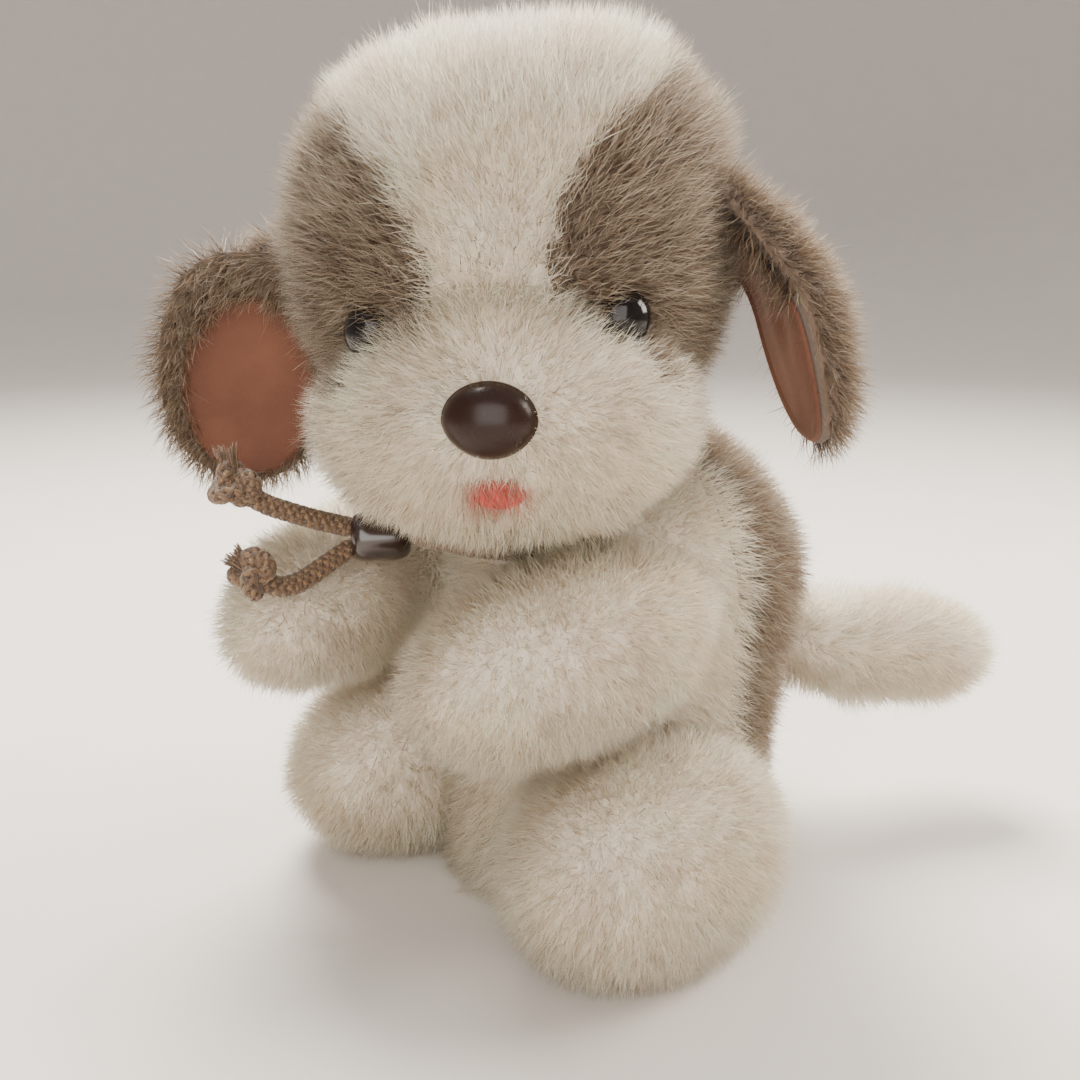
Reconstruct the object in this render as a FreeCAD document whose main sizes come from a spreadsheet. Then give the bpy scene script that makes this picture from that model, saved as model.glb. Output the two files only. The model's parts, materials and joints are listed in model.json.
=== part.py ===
"""Sitting plush puppy with a motorised head and tail, as a parametric document.

Millimetres, +Z up. The puppy faces -Y and its left side is +X. The origin is the middle of
the flat underside of the torso, on the surface it sits on. The head is modelled turned to
its left limit and the tail at the matching end of its wag.
"""
import FreeCAD, Part
import math
import os
import re

import Sketcher
from FreeCAD import Placement, Rotation, Vector

SIZES = {
    # fabric bodies, measured to the thick of the pile
    "pile_skin": 3.5, "torso_split": 6, "torso_floor": 3,
    "neck_stump_radius": 23, "neck_stump_low": 90, "neck_top": 107.5,
    "neck_radius": 20.5, "neck_gap": 0.8, "joint_wide": 16, "joint_long": 20,
    "joint_tall": 18,
    "fore_wide": 20, "fore_long": 38, "fore_tall": 21, "fore_high": 80, "fore_dip": 10,
    "hind_wide": 27, "hind_long": 42, "hind_tall": 29, "hind_high": 26,
    "head_wide": 50, "head_deep": 46, "head_tall": 49, "head_high": 57, "blaze_half": 17,
    "muzzle_wide": 42, "muzzle_deep": 26, "muzzle_tall": 26, "muzzle_ahead": 32, "muzzle_high": 24,
    "ear_gap": 0.6, "tail_wide": 14, "tail_long": 37, "tail_reach": 71, "tail_high": 54,
    "tail_root_wide": 9, "tail_root_long": 14, "tail_root_reach": 47.5, "tail_root_high": 60,
    # pose at rest
    "neck_ahead": 29, "neck_base": 112, "head_yaw": 45, "head_nod": 4, "head_roll": -3.5,
    "tail_axis": 20, "tail_angle": -30,
    # mechanism case
    "case_half": 25, "case_front": 36, "case_back": 26, "case_wall": 2, "case_corner": 7,
    "case_low": 0, "case_floor": 5.5, "plate_low": 46, "plate_high": 48, "case_top": 76,
    "case_room": 0.2, "post_side": 19.5, "post_ahead": 30.5, "post_behind": 21,
    "post_radius": 4.2, "post_top": 53.5, "screw_radius": 1.4, "screw_head": 2.4,
    "screw_low": 1.8, "screw_seat": 3.8, "screw_top": 52.5,
    # battery box
    "bay_half": 22.6, "bay_deep": 12.6, "door_half": 23.8, "door_deep": 17.4, "door_gap": 0.2,
    "door_low": 0, "door_top": 2, "tray_half": 22.9, "tray_deep": 15, "tray_top": 19,
    "tray_wall": 1.5, "cell_radius": 5.25, "cell_length": 42.7, "cell_apart": 6,
    "cell_high": 11.5, "nub_radius": 1.9, "nub_length": 1, "door_screw_ahead": 15.2,
    # drive
    "tooth_module": 0.8, "backlash": 0.14, "sector_teeth": 32, "pinion_teeth": 12,
    "wheel_teeth": 30, "motor_teeth": 10, "tail_teeth": 48, "shaft_gap": 0.05,
    "wheel_low": 49.5, "wheel_top": 52.5, "pinion_top": 65, "head_gear_low": 54.5,
    "head_gear_top": 58.5, "tail_gear_low": 60.5, "tail_gear_top": 64.5,
    "neck_shaft": 3, "bush_wall": 1.7, "pin_radius": 1.5, "tail_shaft": 2,
    "motor_radius": 10, "motor_low": 20.5, "motor_shaft": 1, "motor_angle": 126.87,
    # switches and sound
    "button_high": 33, "button_radius": 9, "button_stem": 3, "button_front": 39.8,
    "button_thick": 1.5, "speaker_radius": 13, "speaker_high": 33, "knob_side": 2, "knob_ahead": 27,
    # head hardware
    "eye_radius": 6, "eye_side": 27.5, "eye_high": 48, "eye_out": 37, "nose_half": 9.5,
    "nose_tall": 7.5, "nose_deep": 6.5, "nose_high": 32, "nose_out": 57,
    # collar cord
    "cord_radius": 2.5, "collar_radius": 26, "collar_high": 101.5, "slide_radius": 6.5,
    "slide_length": 15, "knot_radius": 6.2, "tuft_root": 2.5, "tuft_end": 4.5,
    # ears: half thickness or width, the other, half length, and each one's tilt
    "left_ear_thick": 9, "left_ear_wide": 19, "left_ear_long": 36, "left_ear_tilt": -14,
    "right_ear_wide": 24, "right_ear_thick": 8, "right_ear_long": 31, "right_ear_tilt": 12,
    "left_lining_depth": 4.5, "right_lining_depth": 3.5,
}
# torso sections from the seat up: name, height, middle (+ towards the back), half width, half depth
TORSO = [("seat", 0, -3, 38, 42), ("hip", 20, -1, 41, 44), ("belly", 60, 2, 43, 49),
         ("chest", 90, 7, 43, 49), ("shoulder", 105, 6, 37, 41), ("hump", 117, 9, 25, 26),
         ("nape", 124, 10, 14, 15)]

# where each leg's middle is, as X and Y, and how far it is turned out
LEFT_FORELEG = (34, -46, -10)
RIGHT_FORELEG = (-45, -58, 14)
LEFT_HIND_LEG = (44, -30, 0)
RIGHT_HIND_LEG = (-42, -42, -8)
RIGHT_SHOULDER = (-38, -30)
# the middle of each ear and of the seam that holds it, on the head
LEFT_EAR = (65, -2, 42)
RIGHT_EAR = (-72, 3, 34)
LEFT_EAR_SEAM = (55, -2, 71)
RIGHT_EAR_SEAM = (-55, 3, 57)

doc = FreeCAD.newDocument("PlushPuppy")
sheet = doc.addObject("Spreadsheet::Sheet", "Sizes")


def fill_sheet():
    """One row of the sheet for each driving dimension, then the torso's sections."""
    rows = list(SIZES.items())
    for name, height, middle, wide, deep in TORSO:
        rows += [(name + "_height", height), (name + "_middle", middle),
                 (name + "_wide", wide), (name + "_deep", deep)]
    for row, (alias, number) in enumerate(rows, start=1):
        sheet.set("A%d" % row, alias)
        sheet.set("B%d" % row, str(number))
        sheet.setAlias("B%d" % row, alias)
    doc.recompute()


fill_sheet()


def size(alias):
    """The number in the sheet's cell of that name."""
    return float(sheet.get(alias))


def bind(target, **sizes):
    """Bind properties of an object to expressions on the sheet's cells."""
    for prop, expression in sizes.items():
        target.setExpression(prop, expression)


def cell(text):
    """An expression in which every word is a cell of the sheet."""
    return re.sub("[a-z][a-z_]*", lambda word: "Sizes." + word.group(), text)


SPIN = Vector(0, 0, 1)
NECK = Vector(0, -size("neck_ahead"), size("neck_base"))
HEAD = Placement(NECK, Rotation(SPIN, size("head_yaw")) * Rotation(Vector(1, 0, 0), size("head_nod"))
                 * Rotation(Vector(0, 1, 0), size("head_roll")))
NECK_TURN = Placement(Vector(0, -size("neck_ahead"), 0), Rotation(SPIN, size("head_yaw")))
TAIL = Placement(Vector(0, size("tail_axis"), 0), Rotation(SPIN, size("tail_angle")))


def at(x, y, z, turn=None):
    """A Placement at a point, turned if a Rotation is given."""
    return Placement(Vector(x, y, z), turn or Rotation())


# ---------------------------------------------------------------- primitives and booleans
def ellipsoid(name, wide, deep, tall, place):
    """A full ellipsoid with half sizes along X, Y and Z, each an expression."""
    solid = doc.addObject("Part::Ellipsoid", name)
    bind(solid, Radius2=cell(wide), Radius3=cell(deep), Radius1=cell(tall))
    solid.Placement = place
    return solid


def cylinder(name, radius, height, place):
    """A cylinder along its own Z."""
    solid = doc.addObject("Part::Cylinder", name)
    bind(solid, Radius=cell(radius), Height=cell(height))
    solid.Placement = place
    return solid


def box(name, long, wide, tall, place):
    """A box centred on its own X and Y and standing on its own Z = 0."""
    solid = doc.addObject("Part::Box", name)
    bind(solid, Length=cell(long), Width=cell(wide), Height=cell(tall))
    doc.recompute([solid])
    offset = Vector(-solid.Length.Value / 2, -solid.Width.Value / 2, 0)
    solid.Placement = place.multiply(Placement(offset, Rotation()))
    return solid


def cut(name, base, tool):
    """The first solid without the second."""
    result = doc.addObject("Part::Cut", name)
    result.Base = base
    result.Tool = tool
    return result


def common(name, base, tool):
    """What two solids share."""
    result = doc.addObject("Part::Common", name)
    result.Base = base
    result.Tool = tool
    return result


def fuse(name, *solids):
    """Several solids as one."""
    result = doc.addObject("Part::MultiFuse", name)
    result.Shapes = list(solids)
    return result


def group(name, *solids):
    """Separate identical solids that share one sub-part."""
    result = doc.addObject("Part::Compound", name)
    result.Links = list(solids)
    return result


PARTS = []


def part(solid, label):
    """Name a finished sub-part and keep it for export."""
    solid.Label = label
    PARTS.append(solid)
    return solid


# ---------------------------------------------------------------- PartDesign helpers
def new_body(name):
    """An empty body with its origin planes."""
    return doc.addObject("PartDesign::Body", name)


def sketch_on(body, height="0", role="XY_Plane"):
    """A sketch on one of the body's own origin planes, raised by an expression."""
    plane = [feature for feature in body.Origin.OriginFeatures if feature.Role == role][0]
    sketch = body.newObject("Sketcher::SketchObject", body.Name + "Sketch")
    sketch.AttachmentSupport = (plane, [""])
    sketch.MapMode = "FlatFace"
    sketch.setExpression("AttachmentOffset.Base.z", cell(height))
    return sketch


def value(expression):
    """The number that an expression on the sheet gives."""
    number = sheet.evalExpression(cell(expression))
    return float(getattr(number, "Value", number))


def measure(sketch, kind, places, expression):
    """Add one dimension to a sketch and bind it to the sheet."""
    index = sketch.addConstraint(Sketcher.Constraint(kind, *places, value(expression)))
    sketch.setExpression("Constraints[%d]" % index, cell(expression))


def circle(sketch, radius, x="0", y="0"):
    """A dimensioned circle."""
    index = sketch.addGeometry(Part.Circle(Vector(0, 0, 0), SPIN, 1), False)
    measure(sketch, "DistanceX", (-1, 1, index, 3), x)
    measure(sketch, "DistanceY", (-1, 1, index, 3), y)
    measure(sketch, "Radius", (index,), radius)


def rectangle(sketch, left, right, low, high):
    """A dimensioned rectangle from four expressions."""
    corners = [Vector(-1, -1, 0), Vector(1, -1, 0), Vector(1, 1, 0), Vector(-1, 1, 0)]
    first = sketch.GeometryCount
    for start in range(4):
        sketch.addGeometry(Part.LineSegment(corners[start], corners[(start + 1) % 4]), False)
    for start in range(4):
        following = first + (start + 1) % 4
        sketch.addConstraint(Sketcher.Constraint("Coincident", first + start, 2, following, 1))
        direction = "Horizontal" if start % 2 == 0 else "Vertical"
        sketch.addConstraint(Sketcher.Constraint(direction, first + start))
    measure(sketch, "DistanceX", (-1, 1, first, 1), left)
    measure(sketch, "DistanceY", (-1, 1, first, 1), low)
    measure(sketch, "DistanceX", (-1, 1, first + 2, 1), right)
    measure(sketch, "DistanceY", (-1, 1, first + 2, 1), high)


def rounded_rectangle(sketch, left, right, low, high, corner):
    """A dimensioned rectangle with four equal rounded corners."""
    radius = value(corner)
    ends = [value(left), value(low), value(right), value(high)]
    for turn, (x, y) in enumerate(((0, 1), (2, 1), (2, 3), (0, 3))):
        across = 1 if x == 0 else -1
        upward = 1 if y == 1 else -1
        centre = Vector(ends[x] + across * radius, ends[y] + upward * radius, 0)
        arc = Part.Circle(centre, SPIN, radius)
        start = math.pi + turn * math.pi / 2
        sketch.addGeometry(Part.ArcOfCircle(arc, start, start + math.pi / 2), False)
    for turn in range(4):
        start = sketch.Geometry[turn].EndPoint
        end = sketch.Geometry[(turn + 1) % 4].StartPoint
        sketch.addGeometry(Part.LineSegment(start, end), False)
    for turn in range(4):
        sketch.addConstraint(Sketcher.Constraint("Tangent", turn, 2, 4 + turn, 1))
        sketch.addConstraint(Sketcher.Constraint("Tangent", 4 + turn, 2, (turn + 1) % 4, 1))
        upright = "Vertical" if turn % 2 else "Horizontal"
        sketch.addConstraint(Sketcher.Constraint(upright, 4 + turn))
    measure(sketch, "Radius", (0,), corner)
    for turn in range(1, 4):
        sketch.addConstraint(Sketcher.Constraint("Equal", 0, turn))
    measure(sketch, "DistanceY", (-1, 1, 4, 1), low)
    measure(sketch, "DistanceX", (-1, 1, 5, 1), right)
    measure(sketch, "DistanceY", (-1, 1, 6, 1), high)
    measure(sketch, "DistanceX", (-1, 1, 7, 1), left)


def pad(body, sketch, length):
    """Add material upwards from a sketch."""
    feature = body.newObject("PartDesign::Pad", body.Name + "Pad")
    feature.Profile = sketch
    bind(feature, Length=cell(length))
    body.Tip = feature
    doc.recompute()
    return feature


def pocket(body, sketch, depth):
    """Remove material upwards from a sketch, and make sure that something was removed."""
    before = body.Shape.Volume
    feature = body.newObject("PartDesign::Pocket", body.Name + "Pocket")
    feature.Profile = sketch
    feature.Reversed = True
    bind(feature, Length=cell(depth))
    body.Tip = feature
    doc.recompute()
    assert body.Shape.Volume < before, body.Name + " pocket removes nothing"
    return feature


def case_block(body, low, high):
    """The case's rounded outline as a solid between two heights."""
    sketch = sketch_on(body, low)
    rounded_rectangle(sketch, "0 - case_half", "case_half", "0 - case_front", "case_back",
                      "case_corner")
    return pad(body, sketch, "%s - %s" % (high, low))


def hollow_case(body, low, depth):
    """Hollow a case block to its wall, with rounded inner corners."""
    sketch = sketch_on(body, low)
    rounded_rectangle(sketch, "case_wall - case_half", "case_half - case_wall",
                      "case_wall - case_front", "case_back - case_wall", "case_corner - case_wall")
    return pocket(body, sketch, depth)


POSTS = [(side, end) for side in ("0 - post_side", "post_side")
         for end in ("0 - post_ahead", "post_behind")]


def circles(body, height, radius, places):
    """One sketch with a circle at each place."""
    sketch = sketch_on(body, height)
    for x, y in places:
        circle(sketch, radius, x, y)
    return sketch


# ---------------------------------------------------------------- torso
def torso_loft(name, inset):
    """The torso's smooth outer form, drawn in from its skin by an inset."""
    rings = []
    for section, _, _, _, _ in TORSO:
        ring = doc.addObject("Part::Ellipse", name + section.capitalize())
        ring.Placement = at(0, 0, 0, Rotation(SPIN, 90))
        ring.setExpression("MajorRadius", cell("%s_deep - %s" % (section, inset)))
        ring.setExpression("MinorRadius", cell("%s_wide - %s" % (section, inset)))
        ring.setExpression("Placement.Base.y", cell(section + "_middle"))
        ring.setExpression("Placement.Base.z", cell(section + "_height"))
        rings.append(ring)
    loft = doc.addObject("Part::Loft", name)
    loft.Sections = rings
    loft.Solid = True
    loft.Ruled = False
    return loft


def case_space():
    """The room that the mechanism needs inside the stuffing: case, button, neck and tail arm."""
    body = new_body("CaseSpace")
    sketch = sketch_on(body, "0 - case_wall")
    rounded_rectangle(sketch, "0 - case_half - case_room", "case_half + case_room",
                      "0 - case_front - case_room", "case_back + case_room",
                      "case_corner + case_room")
    pad(body, sketch, "case_top + case_wall + case_room")
    forward = Rotation(Vector(1, 0, 0), 90)
    button = cylinder("ButtonSpace", "button_radius + 0.6", "button_front - case_front + 0.8",
                      at(0, -size("case_front"), size("button_high"), forward))
    clip = cylinder("ClipSpace", "neck_shaft + 5", "7", NECK_TURN.multiply(at(0, 0, 75)))
    neck = cylinder("NeckSpace", "neck_shaft + 0.8", "neck_top - 70", NECK_TURN.multiply(at(0, 0, 72)))
    turning = cylinder("HeadSpace", "neck_stump_radius + 0.5", "30",
                       NECK_TURN.multiply(at(0, 0, size("neck_top"))))
    slot = cylinder("TailSpace", "chest_deep + 11", "tail_gear_top - tail_gear_low + 3",
                    at(0, size("tail_axis"), size("tail_gear_low") - 1.5, Rotation(SPIN, 35)))
    slot.Angle = 110
    return fuse("MechanismSpace", body, button, clip, neck, turning, slot)


def torso():
    """White front panel, brown back panel and the stuffing between them and the case."""
    stump = cylinder("NeckStump", "neck_stump_radius", "neck_top - neck_stump_low + 1",
                     NECK_TURN.multiply(at(0, 0, size("neck_stump_low"))))
    groove = tube("CollarGroove", collar_path(), size("cord_radius") + 0.3)
    form = cut("TorsoForm", fuse("TorsoAndNeck", torso_loft("TorsoOuter", "0"), stump), groove)
    core_space = box("CoreSpace", "200", "200", "nape_height - pile_skin - torso_floor",
                     at(0, 0, size("torso_floor")))
    inner = common("TorsoInside", torso_loft("TorsoInner", "pile_skin"), core_space)
    core = cut("TorsoCore", inner, groove)
    space = case_space()
    skin = cut("TorsoSkin", cut("TorsoShell", form, core), space)
    ahead = box("AheadSpace", "200", "200", "300", at(0, size("torso_split") - 100, -50))
    part(common("TorsoFront", skin, ahead), "torso_front_panel")
    behind = box("BehindSpace", "200", "200", "300", at(0, size("torso_split") + 100, -50))
    part(common("TorsoBack", skin, behind), "torso_back_panel")
    part(cut("TorsoStuffing", core, space), "torso_stuffing")
    return form


def paw(side, stance):
    """The stuffed round of a foreleg that is held out in front."""
    x, y, turn = stance
    aim = Rotation(SPIN, turn) * Rotation(Vector(1, 0, 0), size("fore_dip"))
    return ellipsoid(side + "Foreleg", "fore_wide", "fore_long", "fore_tall",
                     at(x, y, size("fore_high"), aim))


def hind_leg(side, stance, torso_form, floor):
    """A stuffed hind leg sewn to the torso, flat where it stands on the floor."""
    x, y, turn = stance
    paw = ellipsoid(side + "HindLeg", "hind_wide", "hind_long", "hind_tall",
                    at(x, y, size("hind_high"), Rotation(SPIN, turn)))
    above = common(side + "HindAbove", paw, floor)
    part(cut(side + "HindSewn", above, torso_form), side.lower() + "_hind_leg")


def legs(torso_form):
    """Two forelegs held out in front and two hind legs with their feet on the floor."""
    floor = box("AboveFloor", "400", "400", "400", at(0, 0, 0))
    left = cut("LeftForelegSewn", paw("Left", LEFT_FORELEG), torso_form)
    part(left, "left_foreleg")
    right = cut("RightForelegSewn", paw("Right", RIGHT_FORELEG), torso_form)
    root = ellipsoid("RightShoulder", "joint_wide", "joint_long", "joint_tall",
                     at(*RIGHT_SHOULDER, size("fore_high") + 3))
    part(fuse("RightForelegWhole", right, cut("ShoulderSewn", root, torso_form)), "right_foreleg")
    hind_leg("Left", LEFT_HIND_LEG, torso_form, floor)
    hind_leg("Right", RIGHT_HIND_LEG, torso_form, floor)


# ---------------------------------------------------------------- mechanism case
def case_tub():
    """Lower case: floor with battery opening, switch slot, button hole and speaker grille."""
    body = new_body("CaseTub")
    case_block(body, "case_low", "plate_low")
    hollow_case(body, "case_floor", "plate_low - case_floor")
    pad(body, circles(body, "case_floor - 1", "post_radius", POSTS), "plate_low - case_floor + 1")
    recess = sketch_on(body, "case_low")
    rectangle(recess, "0 - door_half - door_gap", "door_half + door_gap",
              "0 - door_deep - door_gap", "door_deep + door_gap")
    pocket(body, recess, "door_top - case_low")
    bay = sketch_on(body, "case_low")
    rectangle(bay, "0 - bay_half", "bay_half", "0 - bay_deep", "bay_deep")
    pocket(body, bay, "case_floor - case_low")
    pocket(body, circles(body, "case_low", "screw_head + 0.1", POSTS), "screw_seat - case_low")
    pocket(body, circles(body, "case_low", "screw_radius", POSTS), "plate_low - case_low")
    screw = circles(body, "case_low", "0.9", [("0", "0 - door_screw_ahead")])
    pocket(body, screw, "case_floor - case_low")
    slot = sketch_on(body, "case_low")
    rectangle(slot, "knob_side - 4.2", "knob_side + 4.2", "0 - knob_ahead - 2", "2 - knob_ahead")
    pocket(body, slot, "case_floor - case_low")
    hole = cylinder("ButtonHole", "button_stem + shaft_gap", "case_wall + 2",
                    at(0, 1 - size("case_front") + size("case_wall"), size("button_high"),
                       Rotation(Vector(1, 0, 0), 90)))
    tools = [hole]
    for ring in range(3):
        for step in range(max(1, ring * 6)):
            angle = math.radians(60 * step / max(1, ring))
            place = at(4 * ring * math.cos(angle), size("case_back") + 1,
                       size("speaker_high") + 4 * ring * math.sin(angle),
                       Rotation(Vector(1, 0, 0), 90))
            tools.append(cylinder("Grille%d_%d" % (ring, step), "1.2", "case_wall + 2", place))
    part(cut("Tub", body, fuse("TubHoles", *tools)), "case_tub")


def gear_plate():
    """Middle plate that carries the motor and the lower ends of the shafts."""
    body = new_body("GearPlate")
    case_block(body, "plate_low", "plate_high")
    thick = "plate_high - plate_low"
    pocket(body, circles(body, "plate_low", "screw_radius", POSTS), thick)
    neck = [("0", "0 - neck_ahead")]
    pocket(body, circles(body, "plate_low", "tail_shaft + shaft_gap", neck), thick)
    pocket(body, circles(body, "plate_low", "tail_shaft + shaft_gap", [("0", "tail_axis")]), thick)
    pocket(body, circles(body, "plate_low", "pin_radius", [("0", "%g" % PINION.y)]), thick)
    motor = [("%g" % MOTOR.x, "%g" % MOTOR.y)]
    pocket(body, circles(body, "plate_low", "motor_shaft + 1", motor), thick)
    pocket(body, circles(body, "plate_low", "0.9", MOTOR_SCREWS), thick)
    part(body, "gear_plate")


def case_cover():
    """Upper case over the gears, with the neck opening and the slot for the tail arm."""
    body = new_body("CaseCover")
    case_block(body, "plate_high", "case_top")
    hollow_case(body, "plate_high", "case_top - plate_high - case_wall")
    pad(body, circles(body, "plate_high", "post_radius", POSTS), "post_top - plate_high")
    pocket(body, circles(body, "plate_high", "screw_radius", POSTS), "screw_top - plate_high")
    boss_low = "case_top - case_wall - 5"
    spindles = [("0", "%g" % PINION.y), ("%g" % IDLER.x, "%g" % IDLER.y)]
    pad(body, circles(body, boss_low, "pin_radius + 1.5", spindles), "5.5")
    pad(body, circles(body, boss_low, "tail_shaft + 1.5", [("0", "tail_axis")]), "5.5")
    pocket(body, circles(body, boss_low, "pin_radius", spindles), "6")
    pocket(body, circles(body, boss_low, "tail_shaft + shaft_gap", [("0", "tail_axis")]), "6")
    neck = circles(body, "case_top - case_wall", "neck_shaft + bush_wall", [("0", "0 - neck_ahead")])
    pocket(body, neck, "case_wall")
    slot = box("TailSlot", "15", "8", "tail_gear_top - tail_gear_low + 3",
               at(0, size("case_back") - 1, size("tail_gear_low") - 1.5))
    part(cut("Cover", body, slot), "case_cover")


def turned_screw(name, head, shank, low, seat, top, x, y):
    """A pan-head screw standing upright, head down, as one solid."""
    cap = cylinder(name + "Head", head, "%s - %s" % (seat, low), at(x, y, size(low)))
    stem = cylinder(name + "Shank", shank, "%s - %s" % (top, seat), at(x, y, size(seat)))
    return fuse(name, cap, stem)


def case_screws():
    """Four long screws that clamp tub, plate and cover from below."""
    screws = []
    for side in (-1, 1):
        for y in (-size("post_ahead"), size("post_behind")):
            screws.append(turned_screw("CaseScrew%d" % len(screws), "screw_head", "screw_radius",
                                       "screw_low", "screw_seat", "screw_top",
                                       side * size("post_side"), y))
    part(group("CaseScrews", *screws), "case_screws")


def battery_box():
    """Channel over the cells, the cells, their contacts, the door and its screw."""
    body = new_body("BatteryTray")
    outline = sketch_on(body, "case_floor")
    rectangle(outline, "0 - tray_half", "tray_half", "0 - tray_deep", "tray_deep")
    pad(body, outline, "tray_top - case_floor")
    channel = sketch_on(body, "case_floor")
    rectangle(channel, "0 - tray_half", "tray_half", "tray_wall - tray_deep", "tray_deep - tray_wall")
    pocket(body, channel, "tray_top - tray_wall - case_floor")
    part(body, "battery_tray")

    cells = []
    contacts = []
    lying = Rotation(Vector(0, 1, 0), 90)
    start = -(size("cell_length") + size("nub_length")) / 2
    for side in (-1, 1):
        middle = Vector(0, side * size("cell_apart"), size("cell_high"))
        facing = Placement(middle, lying if side > 0 else Rotation(Vector(0, 1, 0), -90))
        can = cylinder("Can%d" % side, "cell_radius", "cell_length", facing.multiply(at(0, 0, start)))
        nub = cylinder("Nub%d" % side, "nub_radius", "nub_length",
                       facing.multiply(at(0, 0, start + size("cell_length"))))
        cells.append(fuse("Cell%d" % side, can, nub))
        for end in (-1, 1):
            plate = box("Contact%d_%d" % (side, end), "0.4", "8", "8",
                        at(end * (size("tray_half") - 0.2), middle.y, middle.z - 4))
            contacts.append(plate)
    part(group("Cells", *cells), "battery_cells")
    part(group("Contacts", *contacts), "battery_contacts")

    door = new_body("BatteryDoor")
    outline = sketch_on(door, "door_low")
    rectangle(outline, "0 - door_half", "door_half", "0 - door_deep", "door_deep")
    pad(door, outline, "door_top - door_low")
    spot = [("0", "0 - door_screw_ahead")]
    pocket(door, circles(door, "door_low", "2.1", spot), "1")
    pocket(door, circles(door, "door_low", "1.1", spot), "door_top - door_low")
    part(door, "battery_door")
    seat = at(0, -size("door_screw_ahead"), size("door_low") + 1)
    head = cylinder("DoorScrewHead", "1.9", "0.9", seat.multiply(at(0, 0, -0.9)))
    shank = cylinder("DoorScrewShank", "0.9", "3.8", seat)
    part(fuse("DoorScrew", head, shank), "battery_door_screw")


# ---------------------------------------------------------------- gears
def pitch_radius(teeth):
    """Pitch radius of a gear of the train's module."""
    return size("tooth_module") * teeth / 2


def involute(angle):
    """The involute function of a pressure angle."""
    return math.tan(angle) - angle


def tooth(body, low, height, teeth, addendum, angle):
    """Pad one involute tooth whose middle points along an angle in degrees."""
    pressure = math.radians(20)
    radius = pitch_radius(teeth)
    base = radius * math.cos(pressure)
    root = radius - 1.25 * size("tooth_module") - 0.2
    tip = radius + addendum * size("tooth_module")
    half_pitch = math.pi / (2 * teeth) - size("backlash") / (2 * radius)
    flank = []
    for step in range(7):
        reach = root + (tip - root) * step / 6
        if reach < base:
            undercut = 0.5 * (base - reach) / radius
            half = half_pitch + involute(pressure) - undercut * undercut * teeth
        else:
            half = half_pitch + involute(pressure) - involute(math.acos(base / reach))
        flank.append((reach, half))
    outline = [(reach, half) for reach, half in flank] + [(reach, -half) for reach, half in flank[::-1]]
    turn = math.radians(angle)
    points = [Vector(reach * math.cos(turn + half), reach * math.sin(turn + half), 0)
              for reach, half in outline]
    sketch = sketch_on(body, low)
    for start, end in zip(points, points[1:] + points[:1]):
        sketch.addGeometry(Part.LineSegment(start, end), False)
    return pad(body, sketch, height)


def pattern(body, feature, count, span):
    """Repeat a tooth about the body's Z axis, over a span in degrees."""
    axis = [item for item in body.Origin.OriginFeatures if item.Role == "Z_Axis"][0]
    around = body.newObject("PartDesign::PolarPattern", body.Name + "Teeth")
    around.Originals = [feature]
    around.Axis = (axis, [""])
    around.Angle = span
    around.Occurrences = count
    body.Tip = around
    doc.recompute()
    return around


def full_gear(body, low, top, teeth, addendum, angle):
    """A complete spur gear on a body."""
    root = "tooth_module * %g - 1.25 * tooth_module" % (teeth / 2)
    height = "%s - %s" % (top, low)
    pad(body, circles(body, low, root, [("0", "0")]), height)
    pattern(body, tooth(body, low, height, teeth, addendum, angle), teeth, 360)


def toothed_sector(body, low, top, teeth, count, middle, first):
    """A pie-shaped plate with a few teeth, from a first tooth's angle upwards."""
    height = "%s - %s" % (top, low)
    root = pitch_radius(teeth) - 1.25 * size("tooth_module")
    pitch = 360 / teeth
    half = (count / 2 + 0.4) * pitch
    ends = []
    for angle in (middle - half, middle, middle + half):
        ends.append(Vector(root * math.cos(math.radians(angle)), root * math.sin(math.radians(angle)), 0))
    sketch = sketch_on(body, low)
    centre = Vector(0, 0, 0)
    sketch.addGeometry(Part.LineSegment(centre, ends[0]), False)
    sketch.addGeometry(Part.Arc(*ends), False)
    sketch.addGeometry(Part.LineSegment(ends[2], centre), False)
    pad(body, sketch, height)
    pattern(body, tooth(body, low, height, teeth, 0.8, first), count, pitch * (count - 1))


def direction(start, end):
    """The angle in degrees of the line from one centre to another."""
    return math.degrees(math.atan2(end.y - start.y, end.x - start.x))


def mating(tooth_angle, teeth, line, other_teeth):
    """Angle of a tooth of the second gear that is in mesh with a tooth of the first."""
    pitch = 360 / teeth
    offset = (tooth_angle - line + pitch / 2) % pitch - pitch / 2
    return line + 180 + 180 / other_teeth - offset * teeth / other_teeth


def gear_centre(first, second, first_reach, second_reach):
    """Where a gear sits that touches two others, on their +X side."""
    apart = (second - first).Length
    along = (first_reach ** 2 - second_reach ** 2 + apart ** 2) / (2 * apart)
    side = math.sqrt(first_reach ** 2 - along ** 2)
    return first + Vector(side, along, 0)


NECK_AXIS = Vector(0, -size("neck_ahead"), 0)
TAIL_AXIS = Vector(0, size("tail_axis"), 0)
PINION_REACH = pitch_radius(size("pinion_teeth"))
PINION = NECK_AXIS + Vector(0, pitch_radius(size("sector_teeth")) + PINION_REACH, 0)
IDLER = gear_centre(PINION, TAIL_AXIS, 2 * PINION_REACH, pitch_radius(size("tail_teeth")) + PINION_REACH)
MOTOR_REACH = pitch_radius(size("wheel_teeth")) + pitch_radius(size("motor_teeth"))
MOTOR = PINION + Rotation(SPIN, size("motor_angle")).multVec(Vector(MOTOR_REACH, 0, 0))
MOTOR_SCREWS = []
for side in (-1, 1):
    spot = MOTOR + Rotation(SPIN, size("motor_angle")).multVec(Vector(1, side * 7.2, 0))
    MOTOR_SCREWS.append(("%g" % spot.x, "%g" % spot.y))


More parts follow.
